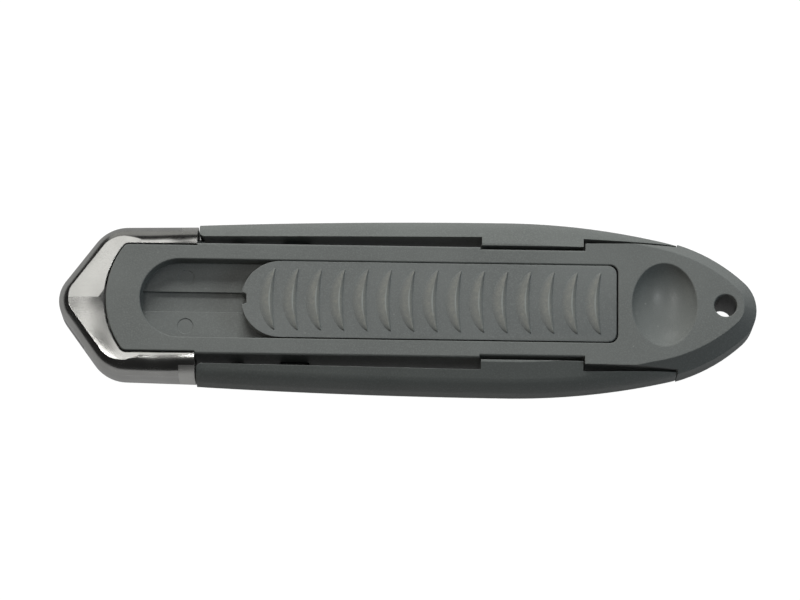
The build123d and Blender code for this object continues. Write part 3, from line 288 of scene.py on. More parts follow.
def moulded(name, colour, grains=3200, depth=0.000035, wear=0.6, gloss=0.46, dust=0.2):
    """Moulded plastic: grain, faint clouds, edges rubbed paler and smoother, and a little dust."""
    material, tree, shader = new_material(name)
    grain = use_group(tree, fine_grain, Grains_per_metre=grains)
    edges = use_group(tree, rubbed_edges, Radius=0.00022, Amount=wear)
    specks = use_group(tree, settled_dust, Amount=dust)
    tone = blend_colour(tree, grain["Clouds"], rgba(colour, 0.94), rgba(colour, 1.05))
    tone = blend_colour(tree, grain["Specks"], tone, rgba(colour, 1.22))
    tone = blend_colour(tree, edges["Mask"], tone, rgba(colour, 1.7))
    tone = blend_colour(tree, specks["Mask"], tone, rgba(DUST_GREY))
    tree.links.new(tone, shader.inputs["Base Color"])
    rough = maths(tree, "MULTIPLY_ADD", grain["Specks"], -0.10, gloss + 0.05)
    rough = maths(tree, "MULTIPLY_ADD", edges["Mask"], -0.12, rough)
    tree.links.new(rough, shader.inputs["Roughness"])
    bump = add_node(tree, "ShaderNodeBump", Strength=0.55, Distance=depth, Height=grain["Height"],
                    Normal=edges["Normal"])
    tree.links.new(bump.outputs[0], shader.inputs["Normal"])
    return material


def finish_node(name, material):
    """Gives a node of the frame its material."""
    nodes[name].data.materials.clear()
    nodes[name].data.materials.append(material)


def dimpled_plastic():
    """The upper shell's plastic, polished by thumbs inside the dimple."""
    material = moulded("body_upper_plastic", BODY_GREY)
    tree = material.node_tree
    shader = tree.nodes["Principled BSDF"]
    place = add_node(tree, "ShaderNodeTexCoord").outputs["Object"]
    centred = add_node(tree, "ShaderNodeMapping", {"vector_type": "TEXTURE"}, Vector=place,
                       Location=(DIMPLE_X, 0, 0), Scale=(*DIMPLE_HALF, 1e3)).outputs[0]
    reach = add_node(tree, "ShaderNodeVectorMath", {"operation": "LENGTH"}, _0=centred).outputs["Value"]
    inside = ramp(tree, reach, 1.0, 0.8)
    rough = shader.inputs["Roughness"].links[0].from_socket
    tree.links.new(maths(tree, "MULTIPLY_ADD", inside, DIMPLE_POLISH, rough), shader.inputs["Roughness"])
    return material


finish_node("top_shell", dimpled_plastic())
finish_node("bottom_shell", moulded("body_lower_plastic", BACK_GREY, dust=0.1))

# --------------------------------------------------------------------------------------------------
# Grip levers
# One along each side, moulded like the body but a touch paler, with a rectangular tab. Each turns on a
# pin near the tail. Hands rub its edges, so they are paler and smoother.
# --------------------------------------------------------------------------------------------------
LEVER_GREY = (0.130, 0.139, 0.133)

lever_plastic = moulded("lever_plastic", LEVER_GREY, grains=2900, wear=0.8)
finish_node("left_lever", lever_plastic)
finish_node("right_lever", lever_plastic)

# --------------------------------------------------------------------------------------------------
# Nose cap
# Zinc die casting, polished by hand: the slopes and arms mirror their surroundings, with tiny casting
# pits and hair scratches left in the skin. The ends of the arms, beside the levers, are left satin.
# --------------------------------------------------------------------------------------------------
CAP_SILVER = (0.62, 0.62, 0.60)
PIT_DARK = (0.16, 0.155, 0.15)
LAND_LENGTH = 0.0036  # unpolished ends of the arms, where the levers meet them
LAND_WIDTH = 0.0021
LAND_ROUGHNESS = 0.32  # added to that of the polished metal
BORDER = 0.0001  # softness of a finish's border
WAVES_PER_METRE = 70  # slow waves that hand polishing leaves
WAVE_DEPTH = 0.0022  # the bump's distance, for the full range of the waves

cap_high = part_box("nose_cap")[1]


def make_scratches():
    """Hair scratches that run mostly one way, as a height and a mask."""
    inputs = [("Along", 90), ("Across", 5200)]
    outputs = [("Height", "NodeSocketFloat"), ("Mask", "NodeSocketFloat")]
    group, entry, leave = new_group("hair_scratches", inputs, outputs)
    place = add_node(group, "ShaderNodeTexCoord").outputs["Object"]
    along, across = entry.outputs[0], entry.outputs[1]
    stretch = add_node(group, "ShaderNodeCombineXYZ", X=along, Y=across, Z=across)
    spread = add_node(group, "ShaderNodeVectorMath", {"operation": "MULTIPLY"}, _0=place,
                      _1=stretch.outputs[0])
    lines = add_node(group, "ShaderNodeTexNoise", Vector=spread.outputs[0], Scale=1.0, Detail=2.0)
    group.links.new(lines.outputs[0], leave.inputs["Height"])
    group.links.new(ramp(group, lines.outputs[0], 0.60, 0.70), leave.inputs["Mask"])
    return group


hair_scratches = make_scratches()


def polished_casting(name, colour):
    """Polished cast zinc with pits, hair scratches and rubbed edges, left satin at the ends of its arms."""
    material, tree, shader = new_material(name)
    shader.inputs["Metallic"].default_value = 1.0
    grain = use_group(tree, fine_grain, Grains_per_metre=2600, Clouds_per_metre=140)
    place = add_node(tree, "ShaderNodeTexCoord").outputs["Object"]
    waves = add_node(tree, "ShaderNodeTexNoise", Vector=place, Scale=WAVES_PER_METRE, Detail=0.0)
    edges = use_group(tree, rubbed_edges, Radius=0.00025, Amount=0.5)
    scratches = use_group(tree, hair_scratches, Along=160, Across=9000)
    pits = ramp(tree, grain["Height"], 0.28, 0.23)
    tone = blend_colour(tree, grain["Clouds"], rgba(colour, 0.90), rgba(colour, 1.06))
    tone = blend_colour(tree, pits, tone, rgba(PIT_DARK))
    tone = blend_colour(tree, edges["Mask"], tone, rgba(colour, 1.35))
    rough = maths(tree, "MULTIPLY_ADD", grain["Clouds"], 0.06, 0.19)
    rough = maths(tree, "MULTIPLY_ADD", scratches["Mask"], 0.04, rough)
    axes = add_node(tree, "ShaderNodeSeparateXYZ", Vector=place)
    land_x, land_y = cap_high.x - LAND_LENGTH, cap_high.y - LAND_WIDTH
    at_end = ramp(tree, axes.outputs["X"], land_x, land_x + BORDER)
    outer = ramp(tree, maths(tree, "ABSOLUTE", axes.outputs["Y"]), land_y, land_y + 2 * BORDER)
    land = maths(tree, "MULTIPLY", at_end, outer)
    tree.links.new(blend_colour(tree, land, tone, rgba(colour, 1.45)), shader.inputs["Base Color"])
    tree.links.new(maths(tree, "MULTIPLY_ADD", land, LAND_ROUGHNESS, rough), shader.inputs["Roughness"])
    polish = add_node(tree, "ShaderNodeBump", Strength=1.0, Distance=WAVE_DEPTH, Height=waves.outputs[0],
                      Normal=edges["Normal"])
    rise = maths(tree, "MULTIPLY_ADD", pits, -1.0, maths(tree, "MULTIPLY", grain["Height"], 0.4))
    bump = add_node(tree, "ShaderNodeBump", Strength=0.10, Distance=0.00001, Height=rise,
                    Normal=polish.outputs[0])
    tree.links.new(bump.outputs[0], shader.inputs["Normal"])
    return material


finish_node("nose_cap", polished_casting("cap_metal", CAP_SILVER))

# --------------------------------------------------------------------------------------------------
# Small steel parts
# Pressed and turned steel: the catches, pins, clamp plate, post, guide sleeve and dowels. Those that show
# in the gaps beside the levers are blackened.
# --------------------------------------------------------------------------------------------------
BRIGHT_STEEL = (0.50, 0.50, 0.49)
BLACK_STEEL = (0.045, 0.045, 0.048)


def steel(name, colour, gloss=0.32, along=300, across=3800):
    """Drawn or pressed steel with fine tool lines and rubbed edges."""
    material, tree, shader = new_material(name)
    shader.inputs["Metallic"].default_value = 1.0
    grain = use_group(tree, fine_grain, Grains_per_metre=4200, Clouds_per_metre=260)
    edges = use_group(tree, rubbed_edges, Radius=0.00012, Amount=0.9)
    lines = use_group(tree, hair_scratches, Along=along, Across=across)
    tone = blend_colour(tree, grain["Clouds"], rgba(colour, 0.85), rgba(colour, 1.08))
    tone = blend_colour(tree, edges["Mask"], tone, rgba(colour, 1.5))
    tree.links.new(tone, shader.inputs["Base Color"])
    tree.links.new(maths(tree, "MULTIPLY_ADD", lines["Mask"], 0.12, gloss), shader.inputs["Roughness"])
    bump = add_node(tree, "ShaderNodeBump", Strength=0.3, Distance=0.00001, Height=lines["Height"],
                    Normal=edges["Normal"])
    tree.links.new(bump.outputs[0], shader.inputs["Normal"])
    return material


bright_steel = steel("bright_steel", BRIGHT_STEEL)
black_steel = steel("blackened_steel", BLACK_STEEL, gloss=0.45)
for name in ("blade_clamp", "carrier_spring_pin", "spring_post", "blade_guide", "nose_pins"):
    finish_node(name, bright_steel)
for name in ("left_catch", "right_catch", "left_pivot_pin", "right_pivot_pin"):
    finish_node(name, black_steel)

# --------------------------------------------------------------------------------------------------
# Blade
# Standard trapezoid blade of ground carbon steel, held in the carrier. Grinding marks run across the bevel
# and along the flat, and a film of oil leaves brownish patches.
# --------------------------------------------------------------------------------------------------
BLADE_GREY = (0.42, 0.42, 0.41)
OILY_BROWN = (0.22, 0.19, 0.15)
BEVEL_WIDTH = 0.0012
BEVEL_BORDER = BEVEL_WIDTH * 0.02

blade_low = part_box("blade")[0]


def ground_blade():
    """Ground steel, bright on the bevel along the cutting edge."""
    material, tree, shader = new_material("ground_blade")
    shader.inputs["Metallic"].default_value = 1.0
    place = add_node(tree, "ShaderNodeTexCoord").outputs["Object"]
    across = add_node(tree, "ShaderNodeSeparateXYZ", Vector=place).outputs["Y"]
    bevel_end = blade_low.y + BEVEL_WIDTH
    bevel = ramp(tree, across, bevel_end + BEVEL_BORDER, bevel_end - BEVEL_BORDER)
    flat_lines = use_group(tree, hair_scratches, Along=120, Across=9000)
    bevel_lines = use_group(tree, hair_scratches, Along=9000, Across=200)
    grain = use_group(tree, fine_grain, Grains_per_metre=3000, Clouds_per_metre=120)
    oily = maths(tree, "MULTIPLY", grain["Clouds"], 0.35)
    tone = blend_colour(tree, oily, rgba(BLADE_GREY), rgba(OILY_BROWN))
    tone = blend_colour(tree, bevel, tone, rgba(BLADE_GREY, 1.35))
    tree.links.new(tone, shader.inputs["Base Color"])
    lines = add_node(tree, "ShaderNodeMix", {"data_type": "FLOAT"}, _0=bevel, _2=flat_lines["Height"],
                     _3=bevel_lines["Height"]).outputs[0]
    tree.links.new(maths(tree, "MULTIPLY_ADD", lines, 0.25, 0.14), shader.inputs["Roughness"])
    bump = add_node(tree, "ShaderNodeBump", Strength=0.5, Distance=0.00001, Height=lines)
    tree.links.new(bump.outputs[0], shader.inputs["Normal"])
    return material


finish_node("blade", ground_blade())

# --------------------------------------------------------------------------------------------------
# Blade carrier
# Moulded in natural acetal, which needs no oil to slide: off-white, waxy and slightly see-through at thin
# edges. Its racks show grey rub marks from the catches.
# --------------------------------------------------------------------------------------------------
ACETAL_WHITE = (0.56, 0.55, 0.50)
RUB_GREY = (0.22, 0.22, 0.21)
RACK_DEPTH = 0.0013

carrier_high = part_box("blade_carrier")[1]


def waxy_acetal():
    """Natural acetal, greyed where the catches bear on the racks."""
    material, tree, shader = new_material("natural_acetal")
    shader.inputs["Subsurface Weight"].default_value = 0.08
    shader.inputs["Subsurface Scale"].default_value = 0.001
    place = add_node(tree, "ShaderNodeTexCoord").outputs["Object"]
    across = maths(tree, "ABSOLUTE", add_node(tree, "ShaderNodeSeparateXYZ", Vector=place).outputs["Y"])
    grain = use_group(tree, fine_grain, Grains_per_metre=2000, Clouds_per_metre=200)
    on_rack = ramp(tree, across, carrier_high.y - RACK_DEPTH, carrier_high.y)
    rubbed = maths(tree, "MULTIPLY", maths(tree, "MULTIPLY", on_rack, grain["Clouds"]), 0.6)
    tone = blend_colour(tree, rubbed, rgba(ACETAL_WHITE), rgba(RUB_GREY))
    tree.links.new(tone, shader.inputs["Base Color"])
    tree.links.new(maths(tree, "MULTIPLY_ADD", grain["Specks"], 0.12, 0.34), shader.inputs["Roughness"])
    bump = add_node(tree, "ShaderNodeBump", Strength=0.3, Distance=0.00002, Height=grain["Height"])
    tree.links.new(bump.outputs[0], shader.inputs["Normal"])
    return material


finish_node("blade_carrier", waxy_acetal())

# --------------------------------------------------------------------------------------------------
# Thumb slider
# Moulded like the body in a slightly lighter grey, with a key that runs in the groove and a stem down to
# the carrier. Fifteen crescent ridges rise towards the tail; thumbs have polished their ramps and crests,
# and a paler line painted along each crest stands in for its highlight.
# --------------------------------------------------------------------------------------------------
SLIDER_GREY = (0.134, 0.142, 0.138)
THUMBED_GREY = (0.205, 0.207, 0.186)
# painted highlight: the pale colour laid along the top of each ridge's crest
CREST_HIGHLIGHT_GREY = (0.26, 0.28, 0.27)
RIDGE_COUNT = 15
RIDGE_PITCH = 0.00515
RIDGE_HALF = 0.0070  # half the length of its crest
RIDGE_HEIGHT = 0.00052
CREST_BOW = 0.00125
TOE_BOW = 0.0034
FOOT_BOW = 0.0004
TIP_SHARE = 0.985  # the tips are cut off blunt here
TIP_HEIGHT_POWER = 0.3  # the lower, the less a ridge sinks towards its tips
TOE_POWER = 0.7  # the lower, the fuller its ramp is near the tips
RAMP_POWER, FALL_POWER = 0.8, 1.3  # bend of the ramp and of the fall behind the crest
RIDGE_ROOT = 0.0002  # sunk in the slider
LAST_CREST = 0.0047  # slider's rear end to the last crest
PLATE_THICKNESS = 0.00385
CORNER_RADIUS = 0.0018
TOP_RIM = 0.00022
NOTCH = (0.0013, 0.0012)  # length and half width
KEY_HALF = 0.00205
KEY_DROP = 0.00075
KEY_END = 0.0014  # key to the slider's rear end
KEY_ROOT = 0.0005  # key's top in the plate
STEM_ROOT = 0.0002  # stem's top in the key
STEM_FRONT, STEM_REAR = -0.005, 0.004
ACROSS_STEPS = 28

slider_low, slider_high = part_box("slider")
slider_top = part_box("top_shell")[1].z


def soften(piece, angle=38):
    """Smooth faces, with edges kept sharp past an angle."""
    piece.data.polygons.foreach_set("use_smooth", [True] * len(piece.data.polygons))
    piece.data.set_sharp_from_angle(angle=math.radians(angle))


def piece_from(name, shape, material=None):
    """A piece from a bmesh, at the origin."""
    bmesh.ops.recalc_face_normals(shape, faces=shape.faces)
    mesh = bpy.data.meshes.new(name)
    shape.to_mesh(mesh)
    shape.free()
    piece = bpy.data.objects.new(name, mesh)
    bpy.context.scene.collection.objects.link(piece)
    if material:
        mesh.materials.append(material)
    return piece


def prism(shape, outline, low_z, high_z):
    """Adds an upright prism to a bmesh and returns its top face."""
    low_ring = [shape.verts.new((x, y, low_z)) for x, y in outline]
    high_ring = [shape.verts.new((x, y, high_z)) for x, y in outline]
    shape.faces.new(list(reversed(low_ring)))
    top = shape.faces.new(high_ring)
    for index, vertex in enumerate(low_ring):
        after = (index + 1) % len(low_ring)
        shape.faces.new((vertex, low_ring[after], high_ring[after], high_ring[index]))
    return top


def arc_points(centre, radius, start, end, steps):
    """Points along an arc, angles in degrees."""
    angles = [math.radians(start + (end - start) * index / steps) for index in range(steps + 1)]
    return [(centre[0] + radius * math.cos(a), centre[1] + radius * math.sin(a)) for a in angles]


def slider_body():
    """The slider without its ridges: plate, key and stem."""
    half = slider_high.y
    front, rear = slider_low.x, slider_high.x
    outline = [(front + NOTCH[0], NOTCH[1]), (front + NOTCH[0], -NOTCH[1])]
    notch_angle = math.degrees(math.asin(NOTCH[1] / half))
    outline += arc_points((front + half, 0), half, 180 + notch_angle, 270, 20)
    outline += arc_points((rear - CORNER_RADIUS, -half + CORNER_RADIUS), CORNER_RADIUS, 270, 360, 8)
    outline += arc_points((rear - CORNER_RADIUS, half - CORNER_RADIUS), CORNER_RADIUS, 0, 90, 8)
    outline += arc_points((front + half, 0), half, 90, 180 - notch_angle, 20)
    shape = bmesh.new()
    top = prism(shape, outline, slider_top - PLATE_THICKNESS, slider_top)
    bmesh.ops.bevel(shape, geom=list(top.edges), offset=TOP_RIM, segments=3, profile=0.5, affect="EDGES")
    under = slider_top - PLATE_THICKNESS
    key_x, stem_x = (front + NOTCH[0], rear - KEY_END), (STEM_FRONT, STEM_REAR)
    key_z = (under - KEY_DROP, under + KEY_ROOT)
    stem_z = (slider_low.z, under - KEY_DROP + STEM_ROOT)
    for (near, far), (low_z, high_z) in ((key_x, key_z), (stem_x, stem_z)):
        block = [(near, -KEY_HALF), (far, -KEY_HALF), (far, KEY_HALF), (near, KEY_HALF)]
        prism(shape, block, low_z, high_z)
    return piece_from("thumb_slider", shape)


def ridge_shape():
    """One crescent: a ramp that rises from the toe line to the crest line, and a short fall behind it."""
    ramp_steps = (0.0, 0.12, 0.28, 0.46, 0.64, 0.80, 0.92, 1.0)
    fall_steps = (0.12, 0.38, 0.70, 1.0)
    shape = bmesh.new()
    rows = []
    for step in range(ACROSS_STEPS + 1):
        share = -TIP_SHARE * math.cos(math.pi * step / ACROSS_STEPS)  # closer together at the tips
        bow = 1 - share * share
        height = RIDGE_HEIGHT * bow ** TIP_HEIGHT_POWER
        toe, crest, foot = -TOE_BOW * bow ** TOE_POWER, -CREST_BOW * bow, -FOOT_BOW * bow
        row = [(toe + (crest - toe) * t, height * t ** RAMP_POWER) for t in ramp_steps]
        row += [(crest + (foot - crest) * t, height * (1 - t ** FALL_POWER)) for t in fall_steps]
        y = share * RIDGE_HALF
        rows.append([shape.verts.new((x, y, z)) for x, z in row] + [
            shape.verts.new((foot, y, -RIDGE_ROOT)), shape.verts.new((toe, y, -RIDGE_ROOT))])
    for near, far in zip(rows, rows[1:]):
        for index in range(len(near)):
            after = (index + 1) % len(near)
            shape.faces.new((near[index], near[after], far[after], far[index]))
    shape.faces.new(rows[0])
    shape.faces.new(list(reversed(rows[-1])))
    return piece_from("ridge", shape)


def tree_for(name, inputs):
    """A geometry node tree with named inputs, given as (name, kind, value). Returns it with its two ends."""
    tree = bpy.data.node_groups.new(name, "GeometryNodeTree")
    tree.interface.new_socket("Geometry", in_out="INPUT", socket_type="NodeSocketGeometry")
    for label, kind, value in inputs:
        socket = tree.interface.new_socket(label, in_out="INPUT", socket_type="NodeSocket" + kind)
        if value is not None:
            socket.default_value = value
    tree.interface.new_socket("Geometry", in_out="OUTPUT", socket_type="NodeSocketGeometry")
    return tree, tree.nodes.new("NodeGroupInput"), tree.nodes.new("NodeGroupOutput")


def grow(piece, tree, name, **values):
    """Runs a geometry node tree on a piece with the given inputs and keeps the result as a plain mesh."""
    modifier = piece.modifiers.new(tree.name, "NODES")
    modifier.node_group = tree
    for item in tree.interface.items_tree:
        key = item.name.replace(" ", "_")
        if item.in_out == "INPUT" and key in values:
            modifier[item.identifier] = values[key]
    bpy.context.view_layer.update()
    mesh = bpy.data.meshes.new_from_object(piece.evaluated_get(bpy.context.evaluated_depsgraph_get()))
    mesh.name = name
    piece.modifiers.clear()
    grown = bpy.data.objects.new(name, mesh)
    bpy.context.scene.collection.objects.link(grown)
    bpy.data.objects.remove(piece)
    return grown


def make_row():
    """Repeats one object in a row, joined to the piece that the tree runs on."""
    tree, entry, leave = tree_for("ridge_row", [
        ("Ridge", "Object", None), ("Count", "Int", 15), ("Start", "Vector", None), ("Pitch", "Vector", None),
        ("Material", "Material", None)])
    line = add_node(tree, "GeometryNodeMeshLine", {"mode": "OFFSET"}, Count=entry.outputs["Count"],
                    Start_Location=entry.outputs["Start"], Offset=entry.outputs["Pitch"])
    ridge = add_node(tree, "GeometryNodeObjectInfo", Object=entry.outputs["Ridge"])
    row = add_node(tree, "GeometryNodeInstanceOnPoints", Points=line.outputs[0],
                   Instance=ridge.outputs["Geometry"])
    joined = add_node(tree, "GeometryNodeJoinGeometry", Geometry=entry.outputs["Geometry"])
    tree.links.new(row.outputs[0], joined.inputs[0])
    real = add_node(tree, "GeometryNodeRealizeInstances", Geometry=joined.outputs[0])
    coloured = add_node(tree, "GeometryNodeSetMaterial", Geometry=real.outputs[0],
                        Material=entry.outputs["Material"])
    tree.links.new(coloured.outputs[0], leave.inputs[0])
    return tree


def thumbed_plastic():
    """Slider plastic, paler and smoother on the ridges where thumbs bear, with a painted highlight on each
    crest.
    """
    material = moulded("slider_plastic", SLIDER_GREY, grains=3400, wear=0.5)
    tree = material.node_tree
    shader = tree.nodes["Principled BSDF"]
    place = add_node(tree, "ShaderNodeTexCoord").outputs["Object"]
    height = add_node(tree, "ShaderNodeSeparateXYZ", Vector=place).outputs["Z"]
    on_ridge = ramp(tree, height, slider_top + 0.04 * RIDGE_HEIGHT, slider_top + 0.75 * RIDGE_HEIGHT)
    # painted highlight: a paler line along the top of each crest stands in for the light it catches
    crest_highlight = ramp(tree, height, slider_top + 0.86 * RIDGE_HEIGHT, slider_top + 0.97 * RIDGE_HEIGHT)
    patches = use_group(tree, fine_grain, Grains_per_metre=1500, Clouds_per_metre=160)
    patchy = maths(tree, "MULTIPLY_ADD", patches["Specks"], 0.55, 0.35)
    rubbed = maths(tree, "MULTIPLY", on_ridge, patchy)
    before = shader.inputs["Base Color"].links[0].from_socket
    tone = blend_colour(tree, rubbed, before, rgba(THUMBED_GREY))
    tone = blend_colour(tree, maths(tree, "MULTIPLY", crest_highlight, 0.6), tone, rgba(CREST_HIGHLIGHT_GREY))
    tree.links.new(tone, shader.inputs["Base Color"])
    rough = shader.inputs["Roughness"].links[0].from_socket
    tree.links.new(maths(tree, "MULTIPLY_ADD", rubbed, -0.06, rough), shader.inputs["Roughness"])
    return material


one_ridge = ridge_shape()
last_ridge = (slider_high.x - LAST_CREST + CREST_BOW, 0, slider_top)
thumb_slider = grow(slider_body(), make_row(), "thumb_slider", Ridge=one_ridge, Count=RIDGE_COUNT,
                    Start=last_ridge, Pitch=(-RIDGE_PITCH, 0, 0), Material=thumbed_plastic())
bpy.data.objects.remove(one_ridge)
soften(thumb_slider, 50)
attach(thumb_slider, "slide")
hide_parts("slider")

# --------------------------------------------------------------------------------------------------
# Springs
# Music wire, phosphated black. The return spring is close-wound with a loop round a pin at each end. A short
# compression spring pushes each lever out.
# --------------------------------------------------------------------------------------------------
WIRE_BLACK = (0.10, 0.10, 0.105)
RETURN_RADIUS = 0.0021  # outside
RETURN_WIRE = 0.00055
RETURN_GAP = 0.00005  # between its turns
RETURN_SHRINK = 0.985  # keeps its turns inside the CAD tube
FRONT_GAP = 0.0008  # carrier to the first turn
PIN_LOOP = 0.001175  # radius of the loop round the carrier's pin
POST_LOOP = 0.001475  # radius of the loop round the post
LEVER_WIRE = 0.00045
LEVER_TURNS = 6
CLOSED_TURNS = 1.2  # at each end of a lever spring
WIRE_SIDES = 10
TURN_STEPS = 20


def make_wire():
    """Turns a path into round wire."""
    tree, entry, leave = tree_for("round_wire", [
        ("Diameter", "Float", 0.0005), ("Sides", "Int", 10), ("Material", "Material", None)])
    radius = add_node(tree, "ShaderNodeMath", {"operation": "DIVIDE"}, _0=entry.outputs["Diameter"], _1=2.0)
    ring = add_node(tree, "GeometryNodeCurvePrimitiveCircle", Resolution=entry.outputs["Sides"],
                    Radius=radius.outputs[0])
    wire = add_node(tree, "GeometryNodeCurveToMesh", Curve=entry.outputs["Geometry"],
                    Profile_Curve=ring.outputs[0], Fill_Caps=True)
    real = add_node(tree, "GeometryNodeRealizeInstances", Geometry=wire.outputs[0])
    coloured = add_node(tree, "GeometryNodeSetMaterial", Geometry=real.outputs[0],
                        Material=entry.outputs["Material"])
    tree.links.new(coloured.outputs[0], leave.inputs[0])
    return tree


round_wire = make_wire()
spring_wire = steel("phosphated_wire", WIRE_BLACK, gloss=0.38)


def wire_piece(name, path, diameter, material, body, node):
    """A piece of wire along a path, in place of a node."""
    curve = bpy.data.curves.new(name, "CURVE")
    curve.dimensions = "3D"
    spline = curve.splines.new("POLY")
    spline.points.add(len(path) - 1)
    for point, place in zip(spline.points, path):
        point.co = (*place, 1)
    wire = bpy.data.objects.new(name, curve)
    bpy.context.scene.collection.objects.link(wire)
    wire = grow(wire, round_wire, name, Diameter=diameter, Sides=WIRE_SIDES, Material=material)
    soften(wire, 60)
    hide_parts(node)
    if body:
        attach(wire, body)
    return wire


def coil(start, turns, length, radius, heading):
    """Points along a coil whose axis is heading (0 for X, 1 for Y), from the start point on its axis."""
    steps = max(2, round(abs(turns) * TURN_STEPS))
    points = []
    for step in range(steps + 1):
        angle, along = 2 * math.pi * turns * step / steps, length * step / steps
        ring = (radius * math.cos(angle), radius * math.sin(angle))
        offset = (along, ring[0], ring[1]) if heading == 0 else (ring[0], along, ring[1])
        points.append(tuple(a + b for a, b in zip(start, offset)))
    return points


spring_low, spring_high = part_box("return_spring")
axis_z = (spring_low.z + spring_high.z) / 2
pin_x = spring_low.x + PIN_LOOP + RETURN_WIRE / 2
post_x = spring_high.x - POST_LOOP - RETURN_WIRE / 2
coil_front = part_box("blade_carrier")[1].x + FRONT_GAP
coil_rear = post_x - POST_LOOP - RETURN_WIRE
coil_radius = (RETURN_RADIUS - RETURN_WIRE / 2) * RETURN_SHRINK
coil_turns = round((coil_rear - coil_front) / (RETURN_WIRE + RETURN_GAP))
pin_loop = [(x, y, axis_z) for x, y in arc_points((pin_x, 0), PIN_LOOP, 35, 360, 26)]
post_loop = [(x, y, axis_z) for x, y in arc_points((post_x, 0), POST_LOOP, 180, 505, 26)]
wound = coil((coil_front, 0, axis_z), coil_turns, coil_rear - coil_front, coil_radius, 0)
return_spring = wire_piece("return_spring_coil", pin_loop + wound + post_loop, RETURN_WIRE, spring_wire, None,
                           "return_spring")
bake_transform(return_spring)

for side, name in ((1, "left"), (-1, "right")):
    node = name + "_lever_spring"
    low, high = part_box(node)
    seat_y, push_y = sorted((low.y, high.y), key=abs)
    centre = ((low.x + high.x) / 2, seat_y + side * LEVER_WIRE / 2, (low.z + high.z) / 2)
    reach = push_y - seat_y - side * LEVER_WIRE
    radius = (high.x - low.x) / 2 - LEVER_WIRE / 2
    dead = side * LEVER_WIRE * CLOSED_TURNS
    path = coil(centre, CLOSED_TURNS, dead, radius, 1)
    spread = LEVER_TURNS - 2 * CLOSED_TURNS
    for turns, length in ((spread, reach - 2 * dead), (CLOSED_TURNS, dead)):
        last_angle = math.atan2(path[-1][2] - centre[2], path[-1][0] - centre[0])
        onward = coil((0, path[-1][1], 0), turns, length, radius, 1)
        cosine, sine = math.cos(last_angle), math.sin(last_angle)
        for x, y, z in onward[1:]:
            path.append((centre[0] + x * cosine - z * sine, y, centre[2] + x * sine + z * cosine))
    spring = wire_piece(node + "_coil", path, LEVER_WIRE, spring_wire, "root", node)
    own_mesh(spring)

# --------------------------------------------------------------------------------------------------
# Screws
# Zinc-plated steel, with pan heads, cross recesses and rolled threads: three hold the shells, one holds the
# slider to the carrier and one clamps the blade.
# --------------------------------------------------------------------------------------------------
ZINC_GREY = (0.36, 0.37, 0.40)
THREAD_PITCH = 0.0008
THREAD_RISE = 0.00016  # crest of the thread over its root
HEAD_ROUNDING = 0.16  # shares of the head's radius
CROSS_LONG, CROSS_WIDE, CROSS_DEEP = 0.62, 0.15, 0.55
CROSS_LIFT = 0.0002  # how far the cutter for the cross stands over the head
CROSS_TAPER = (0.45, 0.8)  # its floor as a share of its top
LATHE_STEPS = 32


def make_screw_set():
    """Stands one screw at each vertex of the piece that the tree runs on."""
    tree, entry, leave = tree_for("screw_set", [("Screw", "Object", None), ("Material", "Material", None)])
    screw = add_node(tree, "GeometryNodeObjectInfo", Object=entry.outputs["Screw"])
    placed = add_node(tree, "GeometryNodeInstanceOnPoints", Points=entry.outputs["Geometry"],
                      Instance=screw.outputs["Geometry"])
    real = add_node(tree, "GeometryNodeRealizeInstances", Geometry=placed.outputs[0])
    coloured = add_node(tree, "GeometryNodeSetMaterial", Geometry=real.outputs[0],
                        Material=entry.outputs["Material"])
    tree.links.new(coloured.outputs[0], leave.inputs[0])
    return tree


def turned(shape, profile):
    """Adds a closed turned form to a bmesh. The profile is (radius, height) from the top centre down."""
    rings = []
    for radius, height in profile:
        if radius == 0:
            rings.append([shape.verts.new((0, 0, height))])
            continue
        angles = [2 * math.pi * step / LATHE_STEPS for step in range(LATHE_STEPS)]
        rings.append([shape.verts.new((radius * math.cos(a), radius * math.sin(a), height)) for a in angles])
    for upper, lower in zip(rings, rings[1:]):
        for step in range(LATHE_STEPS):
            after = (step + 1) % LATHE_STEPS
            if len(upper) == 1:
                shape.faces.new((upper[0], lower[step], lower[after]))
            elif len(lower) == 1:
                shape.faces.new((upper[step], lower[0], upper[after]))
            else:
                shape.faces.new((upper[step], lower[step], lower[after], upper[after]))


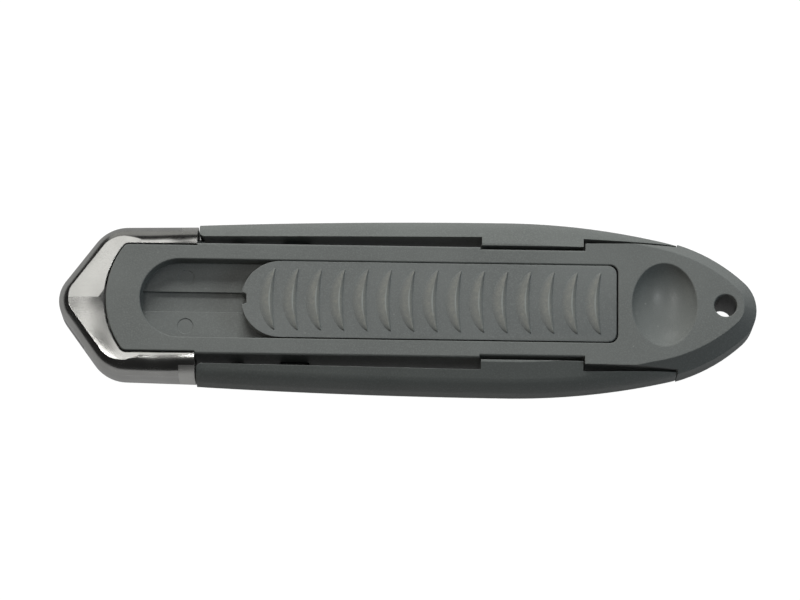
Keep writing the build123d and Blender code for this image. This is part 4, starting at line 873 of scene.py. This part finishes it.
def one_screw(name, head_radius, head_height, shank_radius, length):
    """A screw with its head's top at z = 0 and its point at -length, as an object to repeat."""
    edge = head_radius * HEAD_ROUNDING
    under = -head_height
    shape = bmesh.new()
    profile = [(0, 0), (head_radius * 0.55, -edge * 0.12), (head_radius - edge, -edge * 0.45),
               (head_radius - edge * 0.3, -edge), (head_radius, -edge * 1.8), (head_radius, under),
               (shank_radius, under)]
    turns = int((length - head_height - 2 * shank_radius * 0.4) / THREAD_PITCH)
    root = shank_radius - THREAD_RISE
    for turn_index in range(turns):
        top = under - THREAD_PITCH * turn_index
        profile += [(root, top - THREAD_PITCH * 0.30), (root, top - THREAD_PITCH * 0.55),
                    (shank_radius, top - THREAD_PITCH * 0.88), (shank_radius, top - THREAD_PITCH)]
    profile += [(root, -length + shank_radius * 0.5), (root * 0.4, -length), (0, -length)]
    turned(shape, profile)
    screw = piece_from(name, shape)
    cross = bmesh.new()
    wide, narrow = head_radius * CROSS_LONG, head_radius * CROSS_WIDE
    deep = min(head_height * 0.75, head_radius * CROSS_DEEP)
    for across in ((wide, narrow), (narrow, wide)):
        floor = [share * taper for share, taper in zip(across, CROSS_TAPER)]
        top_ring = [cross.verts.new((x * across[0], y * across[1], CROSS_LIFT)) for x, y in SQUARE]
        low_ring = [cross.verts.new((x * floor[0], y * floor[1], -deep)) for x, y in SQUARE]
        cross.faces.new(top_ring)
        cross.faces.new(list(reversed(low_ring)))
        for index in range(4):
            after = (index + 1) % 4
            cross.faces.new((low_ring[index], low_ring[after], top_ring[after], top_ring[index]))
    cutter = piece_from("cross", cross)
    cut = screw.modifiers.new("recess", "BOOLEAN")
    cut.operation, cut.object, cut.solver, cut.use_self = "DIFFERENCE", cutter, "EXACT", True
    bpy.context.view_layer.update()
    mesh = bpy.data.meshes.new_from_object(screw.evaluated_get(bpy.context.evaluated_depsgraph_get()))
    screw.modifiers.clear()
    screw.data = mesh
    bpy.data.objects.remove(cutter)
    return screw


screw_set = make_screw_set()
plated = steel("zinc_plated_steel", ZINC_GREY, gloss=0.30)
SCREW_SIZES = {  # node: head radius, head height, shank radius, True when the head is below
    "housing_screws": (0.0020, 0.0015, 0.0011, True),
    "slider_screw": (0.0019, 0.0009, 0.0010, True),
    "clamp_screw": (0.0019, 0.0009, 0.0010, False),
}
SCREW_BODIES = {"housing_screws": "root", "slider_screw": "slide", "clamp_screw": "slide"}
for node, (head_radius, head_height, shank_radius, head_below) in SCREW_SIZES.items():
    low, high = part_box(node)
    places = [((low.x + high.x) / 2, (low.y + high.y) / 2)]
    if node == "housing_screws":  # a pair across the body, and one on the middle line towards the tail
        inset = head_radius
        places = [(low.x + inset, low.y + inset), (low.x + inset, high.y - inset), (high.x - inset, 0)]
    screw = one_screw(node, head_radius, head_height, shank_radius, high.z - low.z)
    if head_below:
        screw.data.transform(Matrix.Rotation(math.pi, 4, "X"))
    head_z = low.z if head_below else high.z
    spots = bpy.data.meshes.new("spots")
    spots.from_pydata([(x, y, head_z) for x, y in places], [], [])
    spots = bpy.data.objects.new("spots", spots)
    bpy.context.scene.collection.objects.link(spots)
    screws = grow(spots, screw_set, node + "_threaded", Screw=screw, Material=plated)
    bpy.data.objects.remove(screw)
    soften(screws, 40)
    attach(screws, SCREW_BODIES[node])
    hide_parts(node)

low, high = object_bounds()
